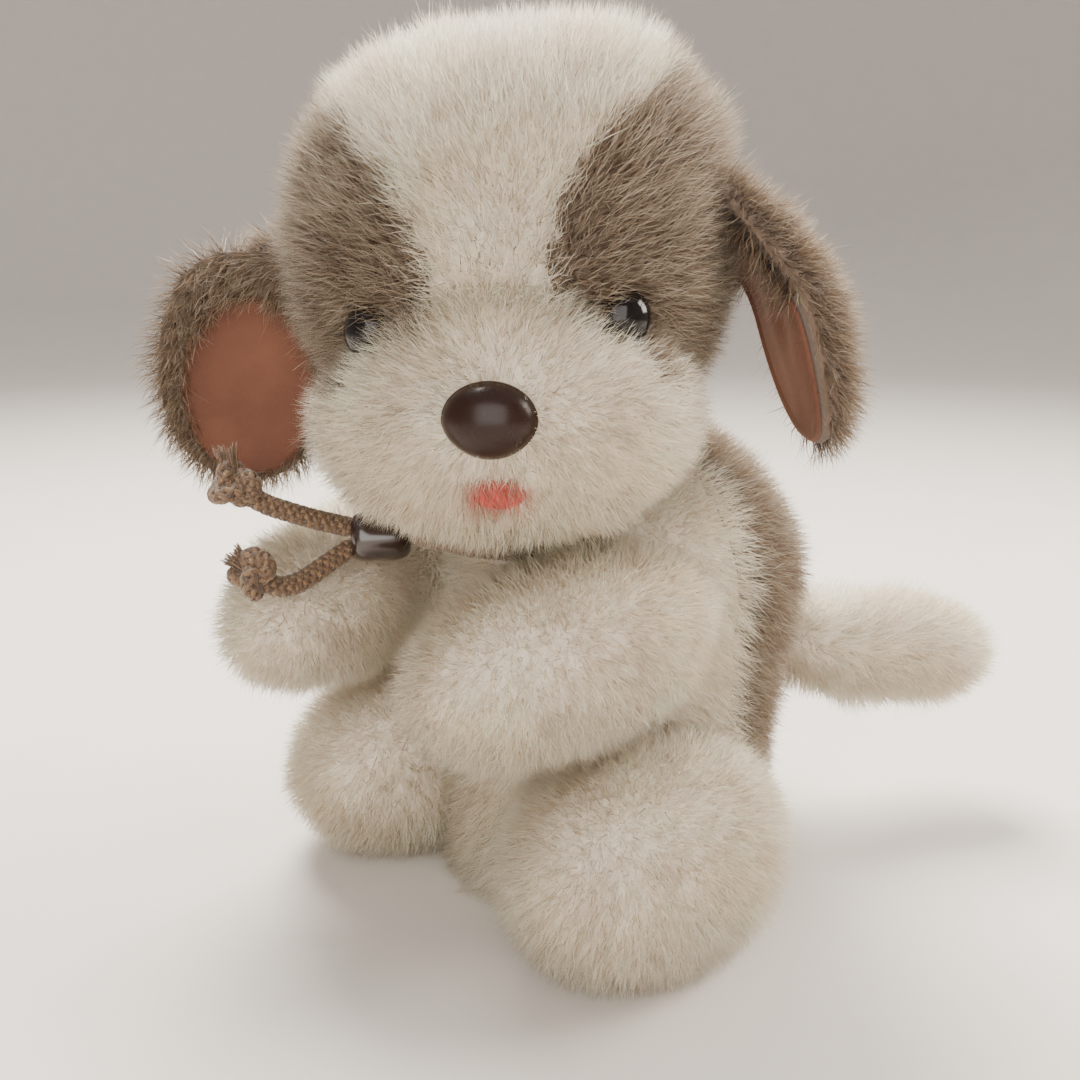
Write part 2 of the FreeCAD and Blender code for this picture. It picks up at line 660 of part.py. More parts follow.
def drive_train():
    """Motor pinion, double reduction gear and idler, in mesh at rest, with their spindles."""
    sector_tooth = 90 + size("head_yaw")
    pinion_teeth = int(size("pinion_teeth"))
    pinion_tooth = mating(sector_tooth, size("sector_teeth"), 90, pinion_teeth)
    wheel_teeth = int(size("wheel_teeth"))
    double = new_body("ReductionGear")
    double.Placement = at(PINION.x, PINION.y, 0)
    full_gear(double, "wheel_low", "wheel_top", wheel_teeth, 0.8, 0)
    full_gear(double, "wheel_top", "pinion_top", pinion_teeth, 0.9, pinion_tooth)
    pocket(double, circles(double, "wheel_low", "pin_radius + shaft_gap", [("0", "0")]),
           "pinion_top - wheel_low")
    part(double, "reduction_gear")

    idler_tooth = mating(pinion_tooth, pinion_teeth, direction(PINION, IDLER), pinion_teeth)
    idler = new_body("IdlerGear")
    idler.Placement = at(IDLER.x, IDLER.y, 0)
    full_gear(idler, "tail_gear_low", "tail_gear_top", pinion_teeth, 0.9, idler_tooth)
    pocket(idler, circles(idler, "tail_gear_low", "pin_radius + shaft_gap", [("0", "0")]),
           "tail_gear_top - tail_gear_low")
    part(idler, "idler_gear")

    motor_teeth = int(size("motor_teeth"))
    motor_tooth = mating(0, wheel_teeth, direction(PINION, MOTOR), motor_teeth)
    pinion = new_body("MotorPinion")
    pinion.Placement = at(MOTOR.x, MOTOR.y, 0)
    full_gear(pinion, "wheel_low - 0.5", "wheel_top + 0.4", motor_teeth, 0.9, motor_tooth)
    pad(pinion, circles(pinion, "plate_low - 8", "motor_shaft", [("0", "0")]), "13")
    part(pinion, "motor_pinion")

    lower = cylinder("ReductionPin", "pin_radius", "case_top - case_wall - plate_low",
                     at(PINION.x, PINION.y, size("plate_low")))
    part(lower, "reduction_spindle")
    pin_low = size("tail_gear_low") - 1.5
    stem = cylinder("IdlerStem", "pin_radius", "case_top - case_wall - tail_gear_low + 1.5",
                    at(IDLER.x, IDLER.y, pin_low))
    collar = cylinder("IdlerHead", "pin_radius + 1", "1.2", at(IDLER.x, IDLER.y, pin_low))
    part(fuse("IdlerPin", stem, collar), "idler_spindle")
    return mating(idler_tooth, pinion_teeth, direction(IDLER, TAIL_AXIS), size("tail_teeth"))


def neck_drive():
    """Neck shaft, its bush and clip, the toothed sector and the plate inside the head."""
    shaft = new_body("NeckShaft")
    shaft.Placement = NECK_TURN
    centre = [("0", "0")]
    pad(shaft, circles(shaft, "plate_low", "tail_shaft", centre), "3")
    pad(shaft, circles(shaft, "plate_high + 0.3", "neck_shaft", centre), "neck_base + 21 - plate_high")
    part(shaft, "neck_shaft")

    sector = new_body("HeadSector")
    sector.Placement = NECK_TURN
    teeth = int(size("sector_teeth"))
    toothed_sector(sector, "head_gear_low", "head_gear_top", teeth, 11, 90, 90 - 5 * 360 / teeth)
    pad(sector, circles(sector, "head_gear_low - 1", "neck_shaft + 1.6", centre), "6")
    pocket(sector, circles(sector, "head_gear_low - 1", "neck_shaft", centre), "6")
    part(sector, "head_gear_sector")

    bush = new_body("NeckBush")
    bush.Placement = NECK_TURN
    pad(bush, circles(bush, "case_top - case_wall - 1", "neck_shaft + bush_wall", centre), "5")
    pad(bush, circles(bush, "case_top", "neck_shaft + 3.5", centre), "1.2")
    pocket(bush, circles(bush, "case_top - case_wall - 1", "neck_shaft + shaft_gap", centre), "6")
    part(bush, "neck_bush")

    clip = new_body("NeckClip")
    clip.Placement = NECK_TURN
    pad(clip, circles(clip, "case_top + 2.4", "neck_shaft + 2.5", centre), "1.2")
    pocket(clip, circles(clip, "case_top + 2.4", "neck_shaft", centre), "1.2")
    part(clip, "neck_clip")

    plate = new_body("HeadPlate")
    plate.Placement = NECK_TURN
    pad(plate, circles(plate, "neck_base + 14", "neck_shaft + 3", centre), "7")
    pad(plate, circles(plate, "neck_base + 18", "16", centre), "3")
    pocket(plate, circles(plate, "neck_base + 14", "neck_shaft", centre), "7.3")
    ties = [("11", "0"), ("-11", "0"), ("0", "11"), ("0", "-11")]
    pocket(plate, circles(plate, "neck_base + 18", "2.2", ties), "3")
    part(plate, "head_plate")


def tail_drive(tail_tooth):
    """Tail shaft and the sector with the arm that carries the tail."""
    centre = [("0", "0")]
    shaft = new_body("TailShaft")
    shaft.Placement = TAIL
    pad(shaft, circles(shaft, "plate_low", "tail_shaft", centre), "case_top - case_wall - plate_low")
    part(shaft, "tail_shaft")

    sector = new_body("TailSector")
    sector.Placement = TAIL
    teeth = int(size("tail_teeth"))
    pitch = 360 / teeth
    contact = direction(TAIL_AXIS, IDLER)
    own = tail_tooth - size("tail_angle")
    first = own - pitch * round((own - contact + 5 * pitch) / pitch)
    toothed_sector(sector, "tail_gear_low", "tail_gear_top", teeth, 11, first + 5 * pitch, first)
    pad(sector, circles(sector, "tail_gear_low - 1.5", "tail_shaft + 2.5", centre), "7")
    arm = sketch_on(sector, "tail_gear_low")
    rectangle(arm, "-2.4", "2.4", "tail_shaft", "tail_reach + 14")
    pad(sector, arm, "tail_gear_top - tail_gear_low")
    pocket(sector, circles(sector, "tail_gear_low - 1.5", "tail_shaft", centre), "7")
    part(sector, "tail_gear_arm")
    return sector


# ---------------------------------------------------------------- motor, sound and switches
def electrics():
    """Geared motor and its screws, circuit board, speaker, switches and their moving parts."""
    motor = new_body("GearMotor")
    motor.Placement = at(MOTOR.x, MOTOR.y, 0)
    pad(motor, circles(motor, "motor_low", "motor_radius - 1", [("0", "0")]), "16")
    pad(motor, circles(motor, "motor_low + 12", "motor_radius", [("0", "0")]),
        "plate_low - motor_low - 12")
    pad(motor, circles(motor, "motor_low - 1.2", "3", [("0", "0")]), "1.2")
    bore = circles(motor, "plate_low - 9", "motor_shaft + shaft_gap", [("0", "0")])
    pocket(motor, bore, "9")
    holes = []
    for x, y in MOTOR_SCREWS:
        holes.append(("%g" % (float(x) - MOTOR.x), "%g" % (float(y) - MOTOR.y)))
    pocket(motor, circles(motor, "plate_low - 3", "0.9", holes), "3")
    part(motor, "gear_motor")
    screws = []
    for index, (x, y) in enumerate(MOTOR_SCREWS):
        top = at(float(x), float(y), size("plate_high"))
        head = cylinder("MotorScrewHead%d" % index, "1.6", "0.9", top)
        down = top.multiply(at(0, 0, -4.6))
        shank = cylinder("MotorScrewShank%d" % index, "0.9", "4.6", down)
        screws.append(fuse("MotorScrew%d" % index, head, shank))
    part(group("MotorScrews", *screws), "motor_screws")

    wall = size("case_half") - size("case_wall")
    board = box("Board", "1.6", "34", "23", at(wall - 2, -3, 21))
    chips = []
    for index, (y, z, wide, tall) in enumerate(((-10, 26, 12, 9), (4, 24, 7, 6), (6, 35, 5, 5))):
        chips.append(box("Chip%d" % index, "2", str(wide), str(tall), at(wall - 3.6, y, z)))
    part(fuse("BoardAndChips", board, *chips), "circuit_board")

    back = size("case_back") - size("case_wall")
    facing = Rotation(Vector(1, 0, 0), 90)
    rim = cylinder("SpeakerRim", "speaker_radius", "2", at(0, back, size("speaker_high"), facing))
    cone = doc.addObject("Part::Cone", "SpeakerCone")
    bind(cone, Radius1=cell("speaker_radius - 1"), Radius2=cell("speaker_radius - 5"), Height=cell("2.5"))
    cone.Placement = at(0, back - 2, size("speaker_high"), facing)
    magnet = cylinder("SpeakerMagnet", "speaker_radius - 5", "1.5",
                      at(0, back - 4.5, size("speaker_high"), facing))
    part(fuse("Speaker", rim, cone, magnet), "speaker")

    front = size("case_wall") - size("case_front")
    high = size("button_high")
    block = box("PressBlock", "13", "8", "12", at(0, front + 4, high - 6))
    bore = cylinder("PressBore", "button_stem + shaft_gap", "5.5", at(0, front + 5.5, high, facing))
    part(cut("PressSwitch", block, bore), "press_switch")
    cap = cylinder("ButtonCap", "button_radius", "button_thick",
                   at(0, size("button_thick") - size("button_front"), high, facing))
    stem = cylinder("ButtonStem", "button_stem", "button_front - button_thick + 2 - case_front + 3.4",
                    at(0, front + 3.4, high, facing))
    part(fuse("Button", cap, stem), "chest_button")
    spring = doc.addObject("Part::Feature", "ButtonSpring")
    gap = size("button_front") - size("button_thick") - size("case_front")
    helix = Part.makeHelix(0.9, gap - 0.7, 4.6)
    wire = Part.Wire([Part.Circle(Vector(4.6, 0, 0), Vector(0, 1, 0), 0.3).toShape()])
    spring.Shape = Part.Wire(helix.Edges).makePipeShell([wire], True, True)
    spring.Placement = at(0, -size("case_front") - 0.35, high, facing)
    part(spring, "button_spring")

    side = size("knob_side")
    ahead = -size("knob_ahead")
    housing = box("SwitchHousing", "14", "8", "4.5", at(side, ahead, 7.2))
    groove = box("SwitchGroove", "9", "3.9", "1.5", at(side, ahead, 7.2))
    feet = box("SwitchFoot", "2", "8", "1.7", at(side - 6, ahead, 5.5))
    other = box("SwitchFootTwo", "2", "8", "1.7", at(side + 6, ahead, 5.5))
    part(cut("SlideSwitch", fuse("SwitchBlock", housing, feet, other), groove), "slide_switch")
    blade = box("KnobBlade", "4", "3.6", "6.2", at(side - 2, ahead, 1.8))
    part(blade, "switch_knob")


# ---------------------------------------------------------------- head
def on_face(x, y, z, facing):
    """A place on the head whose own Z points out of the fur."""
    return HEAD.multiply(at(x, y, z, Rotation(SPIN, facing)))


def eyes():
    """Two domed eyes on ribbed stems, and the washers that lock them behind the fabric."""
    domes = []
    washers = []
    for label, side in (("left", 1), ("right", -1)):
        place = on_face(side * size("eye_side"), -size("eye_out"), size("eye_high"),
                        Vector(0.42 * side, -0.9, -0.05))
        dome = ellipsoid("Dome" + label, "eye_radius", "eye_radius", "eye_radius - 1.4", place)
        stem = cylinder("Stem" + label, "1.8", "11", place.multiply(at(0, 0, -11)))
        domes.append(part(fuse("Eye" + label, dome, stem), label + "_eye"))
        disc = cylinder("Disc" + label, "eye_radius", "1.2", place.multiply(at(0, 0, -9.6)))
        washers.append(cut("Washer" + label, disc, stem))
    washer_pair = part(group("EyeWashers", *washers), "eye_washers")
    return domes + [washer_pair]


def nose():
    """The moulded nose on its stem and the washer behind it."""
    place = on_face(0, -size("nose_out"), size("nose_high"), Vector(0, -1, 0))
    dome = ellipsoid("NoseDome", "nose_half", "nose_tall", "nose_deep", place)
    stem = cylinder("NoseStem", "2.2", "13", place.multiply(at(0, 0, -13)))
    disc = cylinder("NoseDisc", "nose_tall - 0.5", "1.2", place.multiply(at(0, 0, -11.5)))
    whole = part(fuse("Nose", dome, stem), "nose")
    washer = part(cut("NoseWasher", disc, stem), "nose_washer")
    return [whole, washer]


def head():
    """Centre and side fur panels, muzzle, stuffing, mouth felt, eyes and nose."""
    middle = HEAD.multiply(at(0, 0, size("head_high")))
    dome = ellipsoid("HeadDome", "head_wide", "head_deep", "head_tall", middle)
    low = size("neck_top") + size("neck_gap")
    neck = cylinder("HeadNeck", "neck_radius", "18", NECK_TURN.multiply(at(0, 0, low)))
    outer = fuse("HeadOuter", dome, neck)
    inner = ellipsoid("HeadInner", "head_wide - pile_skin", "head_deep - pile_skin",
                      "head_tall - pile_skin", middle)
    hardware = eyes() + nose()
    felt = ellipsoid("MouthFelt", "7", "2", "5", HEAD.multiply(at(0, -55, 13)))
    part(felt, "mouth_felt")
    neck_hole = cylinder("NeckHole", "neck_shaft + 4", "26", NECK_TURN.multiply(at(0, 0, 108)))
    shell = cut("HeadShell", cut("HeadSkin", outer, inner), group("ShellTools", neck_hole, *hardware))
    wide = box("BlazeSpace", "blaze_half * 2", "200", "200", HEAD.multiply(at(0, 0, -50)))
    left = box("LeftSpace", "100", "200", "200", HEAD.multiply(at(50, 0, -50)))
    sides = cut("HeadSides", shell, wide)
    part(common("HeadCentre", shell, wide), "head_centre_panel")
    part(common("HeadLeft", sides, left), "head_left_panel")
    part(cut("HeadRight", sides, left), "head_right_panel")
    low_hole = cylinder("HubHole", "neck_shaft + 4", "22", NECK_TURN.multiply(at(0, 0, 108)))
    plate_room = cylinder("PlateRoom", "16.2", "3.4",
                          NECK_TURN.multiply(at(0, 0, size("neck_base") + 17.9)))
    shaft_room = cylinder("ShaftRoom", "neck_shaft + 3.2", "8",
                          NECK_TURN.multiply(at(0, 0, size("neck_base") + 13.9)))
    tools = group("StuffingTools", low_hole, plate_room, shaft_room, *hardware)
    part(cut("HeadStuffing", inner, tools), "head_stuffing")
    snout = ellipsoid("MuzzleRound", "muzzle_wide", "muzzle_deep", "muzzle_tall",
                      HEAD.multiply(at(0, -size("muzzle_ahead"), size("muzzle_high"))))
    part(cut("Muzzle", snout, group("MuzzleTools", outer, felt, *hardware)), "muzzle_plush")


def ear(side, radii, place, lining_place, root_place, root):
    """One ear: a padded fur flap with a velour lining on one face, clear of the head."""
    clear = ellipsoid(side + "HeadRoom", "head_wide + ear_gap", "head_deep + ear_gap",
                      "head_tall + ear_gap", HEAD.multiply(at(0, 0, size("head_high"))))
    flap = ellipsoid(side + "Flap", *radii, place.multiply(at(0, 0, 0, Rotation(SPIN, 180))))
    stub = ellipsoid(side + "Root", *root, root_place)
    inside = box(side + "LiningSpace", "100", "100", "100", lining_place)
    outside = cut(side + "FlapClear", cut(side + "FlapOutside", flap, inside), clear)
    whole = fuse(side + "Ear", outside, cut(side + "RootClear", stub, clear))
    part(whole, side.lower() + "_ear_fur")
    face = cut(side + "LiningBlank", common(side + "FlapInside", flap, inside), stub)
    part(cut(side + "Lining", face, clear), side.lower() + "_ear_lining")


def ears():
    """Left ear hanging beside the head, right ear turned so that its lining faces ahead."""
    lean = Rotation(Vector(0, 1, 0), size("left_ear_tilt"))
    left = HEAD.multiply(at(*LEFT_EAR, lean))
    ear("Left", ("left_ear_thick", "left_ear_wide", "left_ear_long"), left,
        left.multiply(at(-50 - size("left_lining_depth"), 0, -50)),
        HEAD.multiply(at(*LEFT_EAR_SEAM)), ("10", "14", "7"))
    swing = Rotation(Vector(0, 1, 0), size("right_ear_tilt"))
    right = HEAD.multiply(at(*RIGHT_EAR, swing))
    ear("Right", ("right_ear_wide", "right_ear_thick", "right_ear_long"), right,
        right.multiply(at(0, -50 - size("right_lining_depth"), -50)),
        HEAD.multiply(at(*RIGHT_EAR_SEAM)), ("10", "7", "8"))


def tail(sector):
    """The stuffed tail, carried by the arm of the tail sector."""
    place = TAIL.multiply(at(0, size("tail_reach"), size("tail_high")))
    round_end = ellipsoid("TailRound", "tail_wide", "tail_long", "tail_wide", place)
    root = ellipsoid("TailRoot", "tail_root_wide", "tail_root_long", "tail_root_wide",
                     TAIL.multiply(at(0, size("tail_root_reach"), size("tail_root_high"))))
    part(cut("Tail", fuse("TailForm", round_end, root), sector), "tail_plush")


# ---------------------------------------------------------------- collar cord
SLIDE_CENTRE = Vector(-17.6, -63, 101)
UPPER_ROUTE = [Vector(-21, -69.7, 103.7), Vector(-23.5, -76.6, 105.9), Vector(-25.3, -84, 108.9),
               Vector(-27, -91.2, 112.1), Vector(-28.2, -96.5, 116.8)]
LOWER_ROUTE = [Vector(-21, -69.7, 98.3), Vector(-20.9, -77.2, 95.2), Vector(-19.7, -85, 92),
               Vector(-18.8, -92.7, 92.3), Vector(-18.7, -97.8, 97.3)]
UPPER_TIP = Vector(-30.6, -97.2, 126.5)
LOWER_TIP = Vector(-22.3, -101.8, 102.3)


def tube(name, edges, radius):
    """A round tube along a wire of tangent edges, with its volume tested."""
    path = Part.Wire(edges)
    start = path.Edges[0]
    heading = start.tangentAt(start.FirstParameter)
    ring = Part.Wire([Part.Circle(start.valueAt(start.FirstParameter), heading, radius).toShape()])
    solid = doc.addObject("Part::Feature", name)
    solid.Shape = path.makePipeShell([ring], True, True)
    expected = math.pi * radius ** 2 * path.Length
    print(name, "length %.1f, volume %.3f of its section times length"
          % (path.Length, solid.Shape.Volume / expected))
    return solid


def rounded_route(points):
    """Straight runs joined by tangent arcs as large as the two runs allow."""
    edges = []
    last = points[0]
    for before, corner, after in zip(points, points[1:], points[2:]):
        run_in = corner - before
        run_out = after - corner
        turn = run_in.getAngle(run_out)
        reach = 0.45 * min(run_in.Length, run_out.Length)
        radius = reach / math.tan(turn / 2)
        print("turn %.0f degrees, radius %.1f" % (math.degrees(turn), radius))
        run_in.normalize()
        run_out.normalize()
        start = corner - run_in * reach
        end = corner + run_out * reach
        inward = run_out - run_in
        inward.normalize()
        middle = corner + inward * (radius / math.cos(turn / 2) - radius)
        edges.append(Part.LineSegment(last, start).toShape())
        edges.append(Part.Arc(start, middle, end).toShape())
        last = end
    edges.append(Part.LineSegment(last, points[-1]).toShape())
    return edges


def knot(label, place, tip):
    """A knot in the cord's end with the frayed strands that stand out of it."""
    ball = ellipsoid(label + "Ball", "knot_radius", "knot_radius - 0.8", "knot_radius - 0.6",
                     Placement(place, Rotation()))
    reach = (tip - place).Length
    tuft = doc.addObject("Part::Cone", label + "Tuft")
    bind(tuft, Radius1=cell("tuft_root"), Radius2=cell("tuft_end"), Height="%g" % reach)
    tuft.Placement = Placement(place, Rotation(SPIN, tip - place))
    name = label.lower() + "_knot"
    part(fuse(label + "Knot", ball, tuft), name)


def slide_heading():
    """The level direction from the neck's axis to the slide."""
    out = Vector(SLIDE_CENTRE.x, SLIDE_CENTRE.y + size("neck_ahead"), 0)
    out.normalize()
    return out


def collar_path():
    """The loop round the neck: an arc, and a tangent run from each end of it to the slide."""
    axis = Vector(0, -size("neck_ahead"), size("collar_high"))
    out = slide_heading()
    across = SPIN.cross(out)
    face = Vector(SLIDE_CENTRE.x, SLIDE_CENTRE.y, axis.z) - out * (size("slide_length") / 2)
    entry = [face + across * side * (size("cord_radius") + 0.2) for side in (-1, 1)]
    touch = []
    for side, end in zip((-1, 1), entry):
        gap = end - axis
        lift = math.acos(size("collar_radius") / gap.Length)
        spoke = Rotation(SPIN, math.degrees(side * lift)).multVec(gap)
        spoke.normalize()
        touch.append(axis + spoke * size("collar_radius"))
    back = axis - out * size("collar_radius")
    return [Part.LineSegment(entry[0], touch[0]).toShape(),
            Part.Arc(touch[0], back, touch[1]).toShape(),
            Part.LineSegment(touch[1], entry[1]).toShape()]


def collar():
    """The cord round the neck, the slide that draws it in and its two knotted ends."""
    radius = size("cord_radius")
    out = slide_heading()
    part(tube("Collar", collar_path(), radius), "collar_cord")
    barrel = cylinder("SlideBarrel", "slide_radius", "slide_length",
                      Placement(SLIDE_CENTRE - out * (size("slide_length") / 2), Rotation(SPIN, out)))
    doc.recompute([barrel])
    slide = doc.addObject("Part::Fillet", "Slide")
    slide.Base = barrel
    rims = [index for index, edge in enumerate(barrel.Shape.Edges, start=1)
            if edge.isClosed()]
    slide.Edges = [(index, 1.0, 1.0) for index in rims]
    part(slide, "cord_slide")
    for label, route, tip in (("Upper", UPPER_ROUTE, UPPER_TIP),
                              ("Lower", LOWER_ROUTE, LOWER_TIP)):
        part(tube(label + "End", rounded_route(route), radius), label.lower() + "_cord_end")
        knot(label, route[-1], tip)


# ---------------------------------------------------------------- build, check and export
def build():
    """Make every sub-part in the document."""
    torso_form = torso()
    legs(torso_form)
    case_tub()
    gear_plate()
    case_cover()
    case_screws()
    battery_box()
    tail_tooth = drive_train()
    neck_drive()
    sector = tail_drive(tail_tooth)
    electrics()
    head()
    ears()
    tail(sector)
    collar()
    doc.recompute()


def check_and_export():
    """Stop on any failed object or bad solid, then write one STEP file a sub-part."""
    for thing in doc.Objects:
        assert not {"Invalid", "Error"} & set(thing.State), thing.Name + " failed"
    for solid in PARTS:
        shape = solid.Shape
        assert not shape.isNull() and shape.isValid() and shape.Solids, solid.Label + " is bad"
    os.makedirs("parts", exist_ok=True)
    for solid in PARTS:
        solid.Shape.exportStep("parts/%s.step" % solid.Label)
    print(len(PARTS), "sub-parts written")


build()
check_and_export()
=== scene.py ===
"""The sitting plush puppy's looks, built round its packed mechanical model.

Blender works in metres. Sizes here are in millimetres and become metres where a mesh is made.
+Z is up, the puppy faces -Y and its left side is +X. The head is turned to its left.
"""

import json
import math

import bpy
import numpy as np
from mathutils import Matrix, Vector


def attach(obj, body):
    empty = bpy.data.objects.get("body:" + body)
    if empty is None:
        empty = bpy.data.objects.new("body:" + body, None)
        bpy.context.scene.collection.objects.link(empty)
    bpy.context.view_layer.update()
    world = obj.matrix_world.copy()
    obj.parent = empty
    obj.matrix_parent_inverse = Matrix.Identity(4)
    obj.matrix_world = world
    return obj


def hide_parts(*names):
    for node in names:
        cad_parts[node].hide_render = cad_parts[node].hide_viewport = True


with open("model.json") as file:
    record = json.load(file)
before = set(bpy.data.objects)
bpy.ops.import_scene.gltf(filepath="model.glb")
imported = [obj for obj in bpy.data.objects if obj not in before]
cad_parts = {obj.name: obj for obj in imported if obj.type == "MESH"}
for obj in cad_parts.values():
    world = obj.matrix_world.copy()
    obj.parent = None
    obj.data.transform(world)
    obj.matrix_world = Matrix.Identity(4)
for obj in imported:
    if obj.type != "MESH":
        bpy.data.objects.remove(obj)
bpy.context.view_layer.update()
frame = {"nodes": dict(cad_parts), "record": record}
NODES = frame["nodes"]
MM = 0.001

# ---- driving dimensions, in millimetres
NECK = (0, -29, 112)
HEAD_YAW, HEAD_NOD, HEAD_ROLL = 45, 4, -3.5
TAIL_AXIS = (0, 20, 54)
TAIL_ANGLE = -30
# where the torso's front panel meets its back panel
SPLIT = 6
# torso sections from the seat up: height, middle, half width, half depth
TORSO = [(0, -3, 38, 42), (20, -1, 41, 44), (60, 2, 43, 49), (90, 7, 43, 49),
         (105, 6, 37, 41), (117, 9, 25, 26), (124, 10, 14, 15)]
SKIN_DEPTH = 2.0
PANEL_THICK = 0.9
# heights above the floor: a resting form's underside and the lowest fibre
SEAT, FIBRE_FLOOR = 0.4, 0.3
HEAD_RADII = (48, 44, 48)
MUZZLE_RADII = (40.5, 24.5, 24.5)
TAIL_RADII = (13, 34, 13)
EYES = [(-27.5, -38, 46), (27.5, -38, 46)]
EYE_CLEAR = 5.7
NOSE = (0, -57, 29.5)
MOUTH = (0, -60, 14.5)
CORD_RADIUS = 2.5
COLLAR_RADIUS = 26
COLLAR_HIGH = 101.5
# half the angle, in radians, that the slide takes out of the collar's ring
COLLAR_GAP = 0.62
SLIDE = (-17.6, -63, 101)
SLIDE_LENGTH = 15
# half the distance between the cord's two runs where they enter the slide
RUN_APART = 2.7
# a knot's own size, and the radius and pitch of the braid it is tied in
KNOT_SIZE, KNOT_RADIUS, KNOT_PITCH = 4.4, 2.4, 7.5
# each cord end's route and length, in metres, its frayed tip, and the two turns of its knot
CORD_ENDS = [
    ("upper", [(-0.021, -0.0697, 0.1037), (-0.0235, -0.0766, 0.1059), (-0.0253, -0.084, 0.1089),
               (-0.027, -0.0912, 0.1121), (-0.0282, -0.0965, 0.1168)], 0.031,
     (-30.6, -97.2, 126.5), ("X", 25), ("Y", 50)),
    ("lower", [(-0.021, -0.0697, 0.0983), (-0.0209, -0.0772, 0.0952), (-0.0197, -0.085, 0.092),
               (-0.0188, -0.0927, 0.0923), (-0.0187, -0.0978, 0.0973)], 0.0311,
     (-22.3, -101.8, 102.3), ("X", 70), ("Z", 30))]
# the stage, in metres: the flat floor's reach, the curve up from it and the wall's top
FLAT_REACH, WALL_CURVE, WALL_TOP = 1.5, 1.2, 3.2


# ---- camera, stage and light
def camera():
    """The viewpoint: close, a little above the puppy, off its front left side."""
    data = bpy.data.cameras.new("Camera")
    data.lens = 36.9
    data.sensor_width = 36
    data.clip_start = 0.01
    eye = bpy.data.objects.new("Camera", data)
    eye.location = Vector((217.6, -207.4, 168)) * MM
    eye.rotation_euler = (math.radians(90 - 14), 0, math.radians(50))
    bpy.context.scene.collection.objects.link(eye)
    bpy.context.scene.camera = eye


def area_light(name, place, target, size, power, colour):
    """A soft square light aimed at a point."""
    data = bpy.data.lights.new(name, "AREA")
    data.size = size
    data.energy = power
    data.color = colour
    lamp = bpy.data.objects.new(name, data)
    lamp.location = place
    lamp.rotation_euler = (Vector(target) - Vector(place)).to_track_quat("-Z", "Y").to_euler()
    bpy.context.scene.collection.objects.link(lamp)


def lights():
    """A warm key high on the puppy's right, a wide fill beside the camera and a rim light behind."""
    middle = (0, -0.02, 0.11)
    area_light("Key", (-0.45, 0.10, 0.95), middle, 0.55, 40, (1.0, 0.94, 0.86))
    area_light("Fill", (0.75, -0.75, 0.45), middle, 1.0, 15, (1.0, 0.96, 0.91))
    area_light("Rim", (0.45, 0.70, 0.55), middle, 0.5, 16, (1.0, 0.93, 0.84))
    world = bpy.data.worlds.new("Studio")
    world.use_nodes = True
    background = world.node_tree.nodes["Background"]
    background.inputs["Color"].default_value = (0.90, 0.89, 0.90, 1)
    background.inputs["Strength"].default_value = 0.85
    bpy.context.scene.world = world


# ---- vectors and noise
def unit(vectors):
    """Rows of an array scaled to length one."""
    return vectors / np.maximum(np.linalg.norm(vectors, axis=-1, keepdims=True), 1e-9)


def turned(axis, degrees):
    """A 3 x 3 rotation about X, Y or Z."""
    return np.array(Matrix.Rotation(math.radians(degrees), 3, axis))


def ramp(value, low, high):
    """Smooth step from 0 at low to 1 at high."""
    share = np.clip((value - low) / (high - low), 0, 1)
    return share * share * (3 - 2 * share)


def waves(points, length, seed):
    """A smooth field of about -1 to 1 over points, varying over a length, as a sum of waves."""
    rng = np.random.default_rng(seed)
    total = np.zeros(len(points))
    for _ in range(7):
        heading = unit(rng.normal(size=3)) * rng.uniform(0.7, 1.6) * 2 * math.pi / length
        total += np.sin(points @ heading + rng.uniform(0, 2 * math.pi))
    return total / 2.6


HEAD_TURN = turned("Z", HEAD_YAW) @ turned("X", HEAD_NOD) @ turned("Y", HEAD_ROLL)
TAIL_TURN = turned("Z", TAIL_ANGLE)


def on_head(points):
    """Points given on the head, in the puppy's own frame."""
    return np.array(NECK) + np.asarray(points, float) @ HEAD_TURN.T


def from_head(points):
    """The reverse of on_head."""
    return (points - np.array(NECK)) @ HEAD_TURN


# ---- materials
def material(name, colour, roughness, **sockets):
    """A Principled material with a plain colour, returned with its node tree."""
    made = bpy.data.materials.new(name)
    made.use_nodes = True
    shader = made.node_tree.nodes["Principled BSDF"]
    shader.inputs["Base Color"].default_value = (*colour, 1)
    shader.inputs["Roughness"].default_value = roughness
    set_inputs(shader, sockets)
    return made, made.node_tree, shader


def set_inputs(node, numbers):
    """Set a node's inputs by name, with _ where the name has a space."""
    for socket, number in numbers.items():
        node.inputs[socket.replace("_", " ")].default_value = number


def add(tree, kind, **values):
    """A node with some properties and inputs set."""
    node = tree.nodes.new(kind)
    for key, number in values.items():
        if key in node.inputs:
            node.inputs[key].default_value = number
        else:
            setattr(node, key, number)
    return node


def noise(tree, scale, detail=3.0):
    """The output of a noise texture in object space, with its scale in features per metre."""
    place = add(tree, "ShaderNodeTexCoord")
    node = add(tree, "ShaderNodeTexNoise", Scale=scale, Detail=detail)
    tree.links.new(place.outputs["Object"], node.inputs["Vector"])
    return node.outputs["Fac"]


def remap(tree, value, **ends):
    """A value output stretched between new ends."""
    node = add(tree, "ShaderNodeMapRange")
    tree.links.new(value, node.inputs["Value"])
    set_inputs(node, ends)
    return node.outputs["Result"]


def blend_colours(tree, factor, first, second):
    """The output of a node that mixes two colours by a factor output."""
    mix = add(tree, "ShaderNodeMix", data_type="RGBA")
    tree.links.new(factor, mix.inputs[0])
    mix.inputs[6].default_value = (*first, 1)
    mix.inputs[7].default_value = (*second, 1)
    return mix.outputs[2]


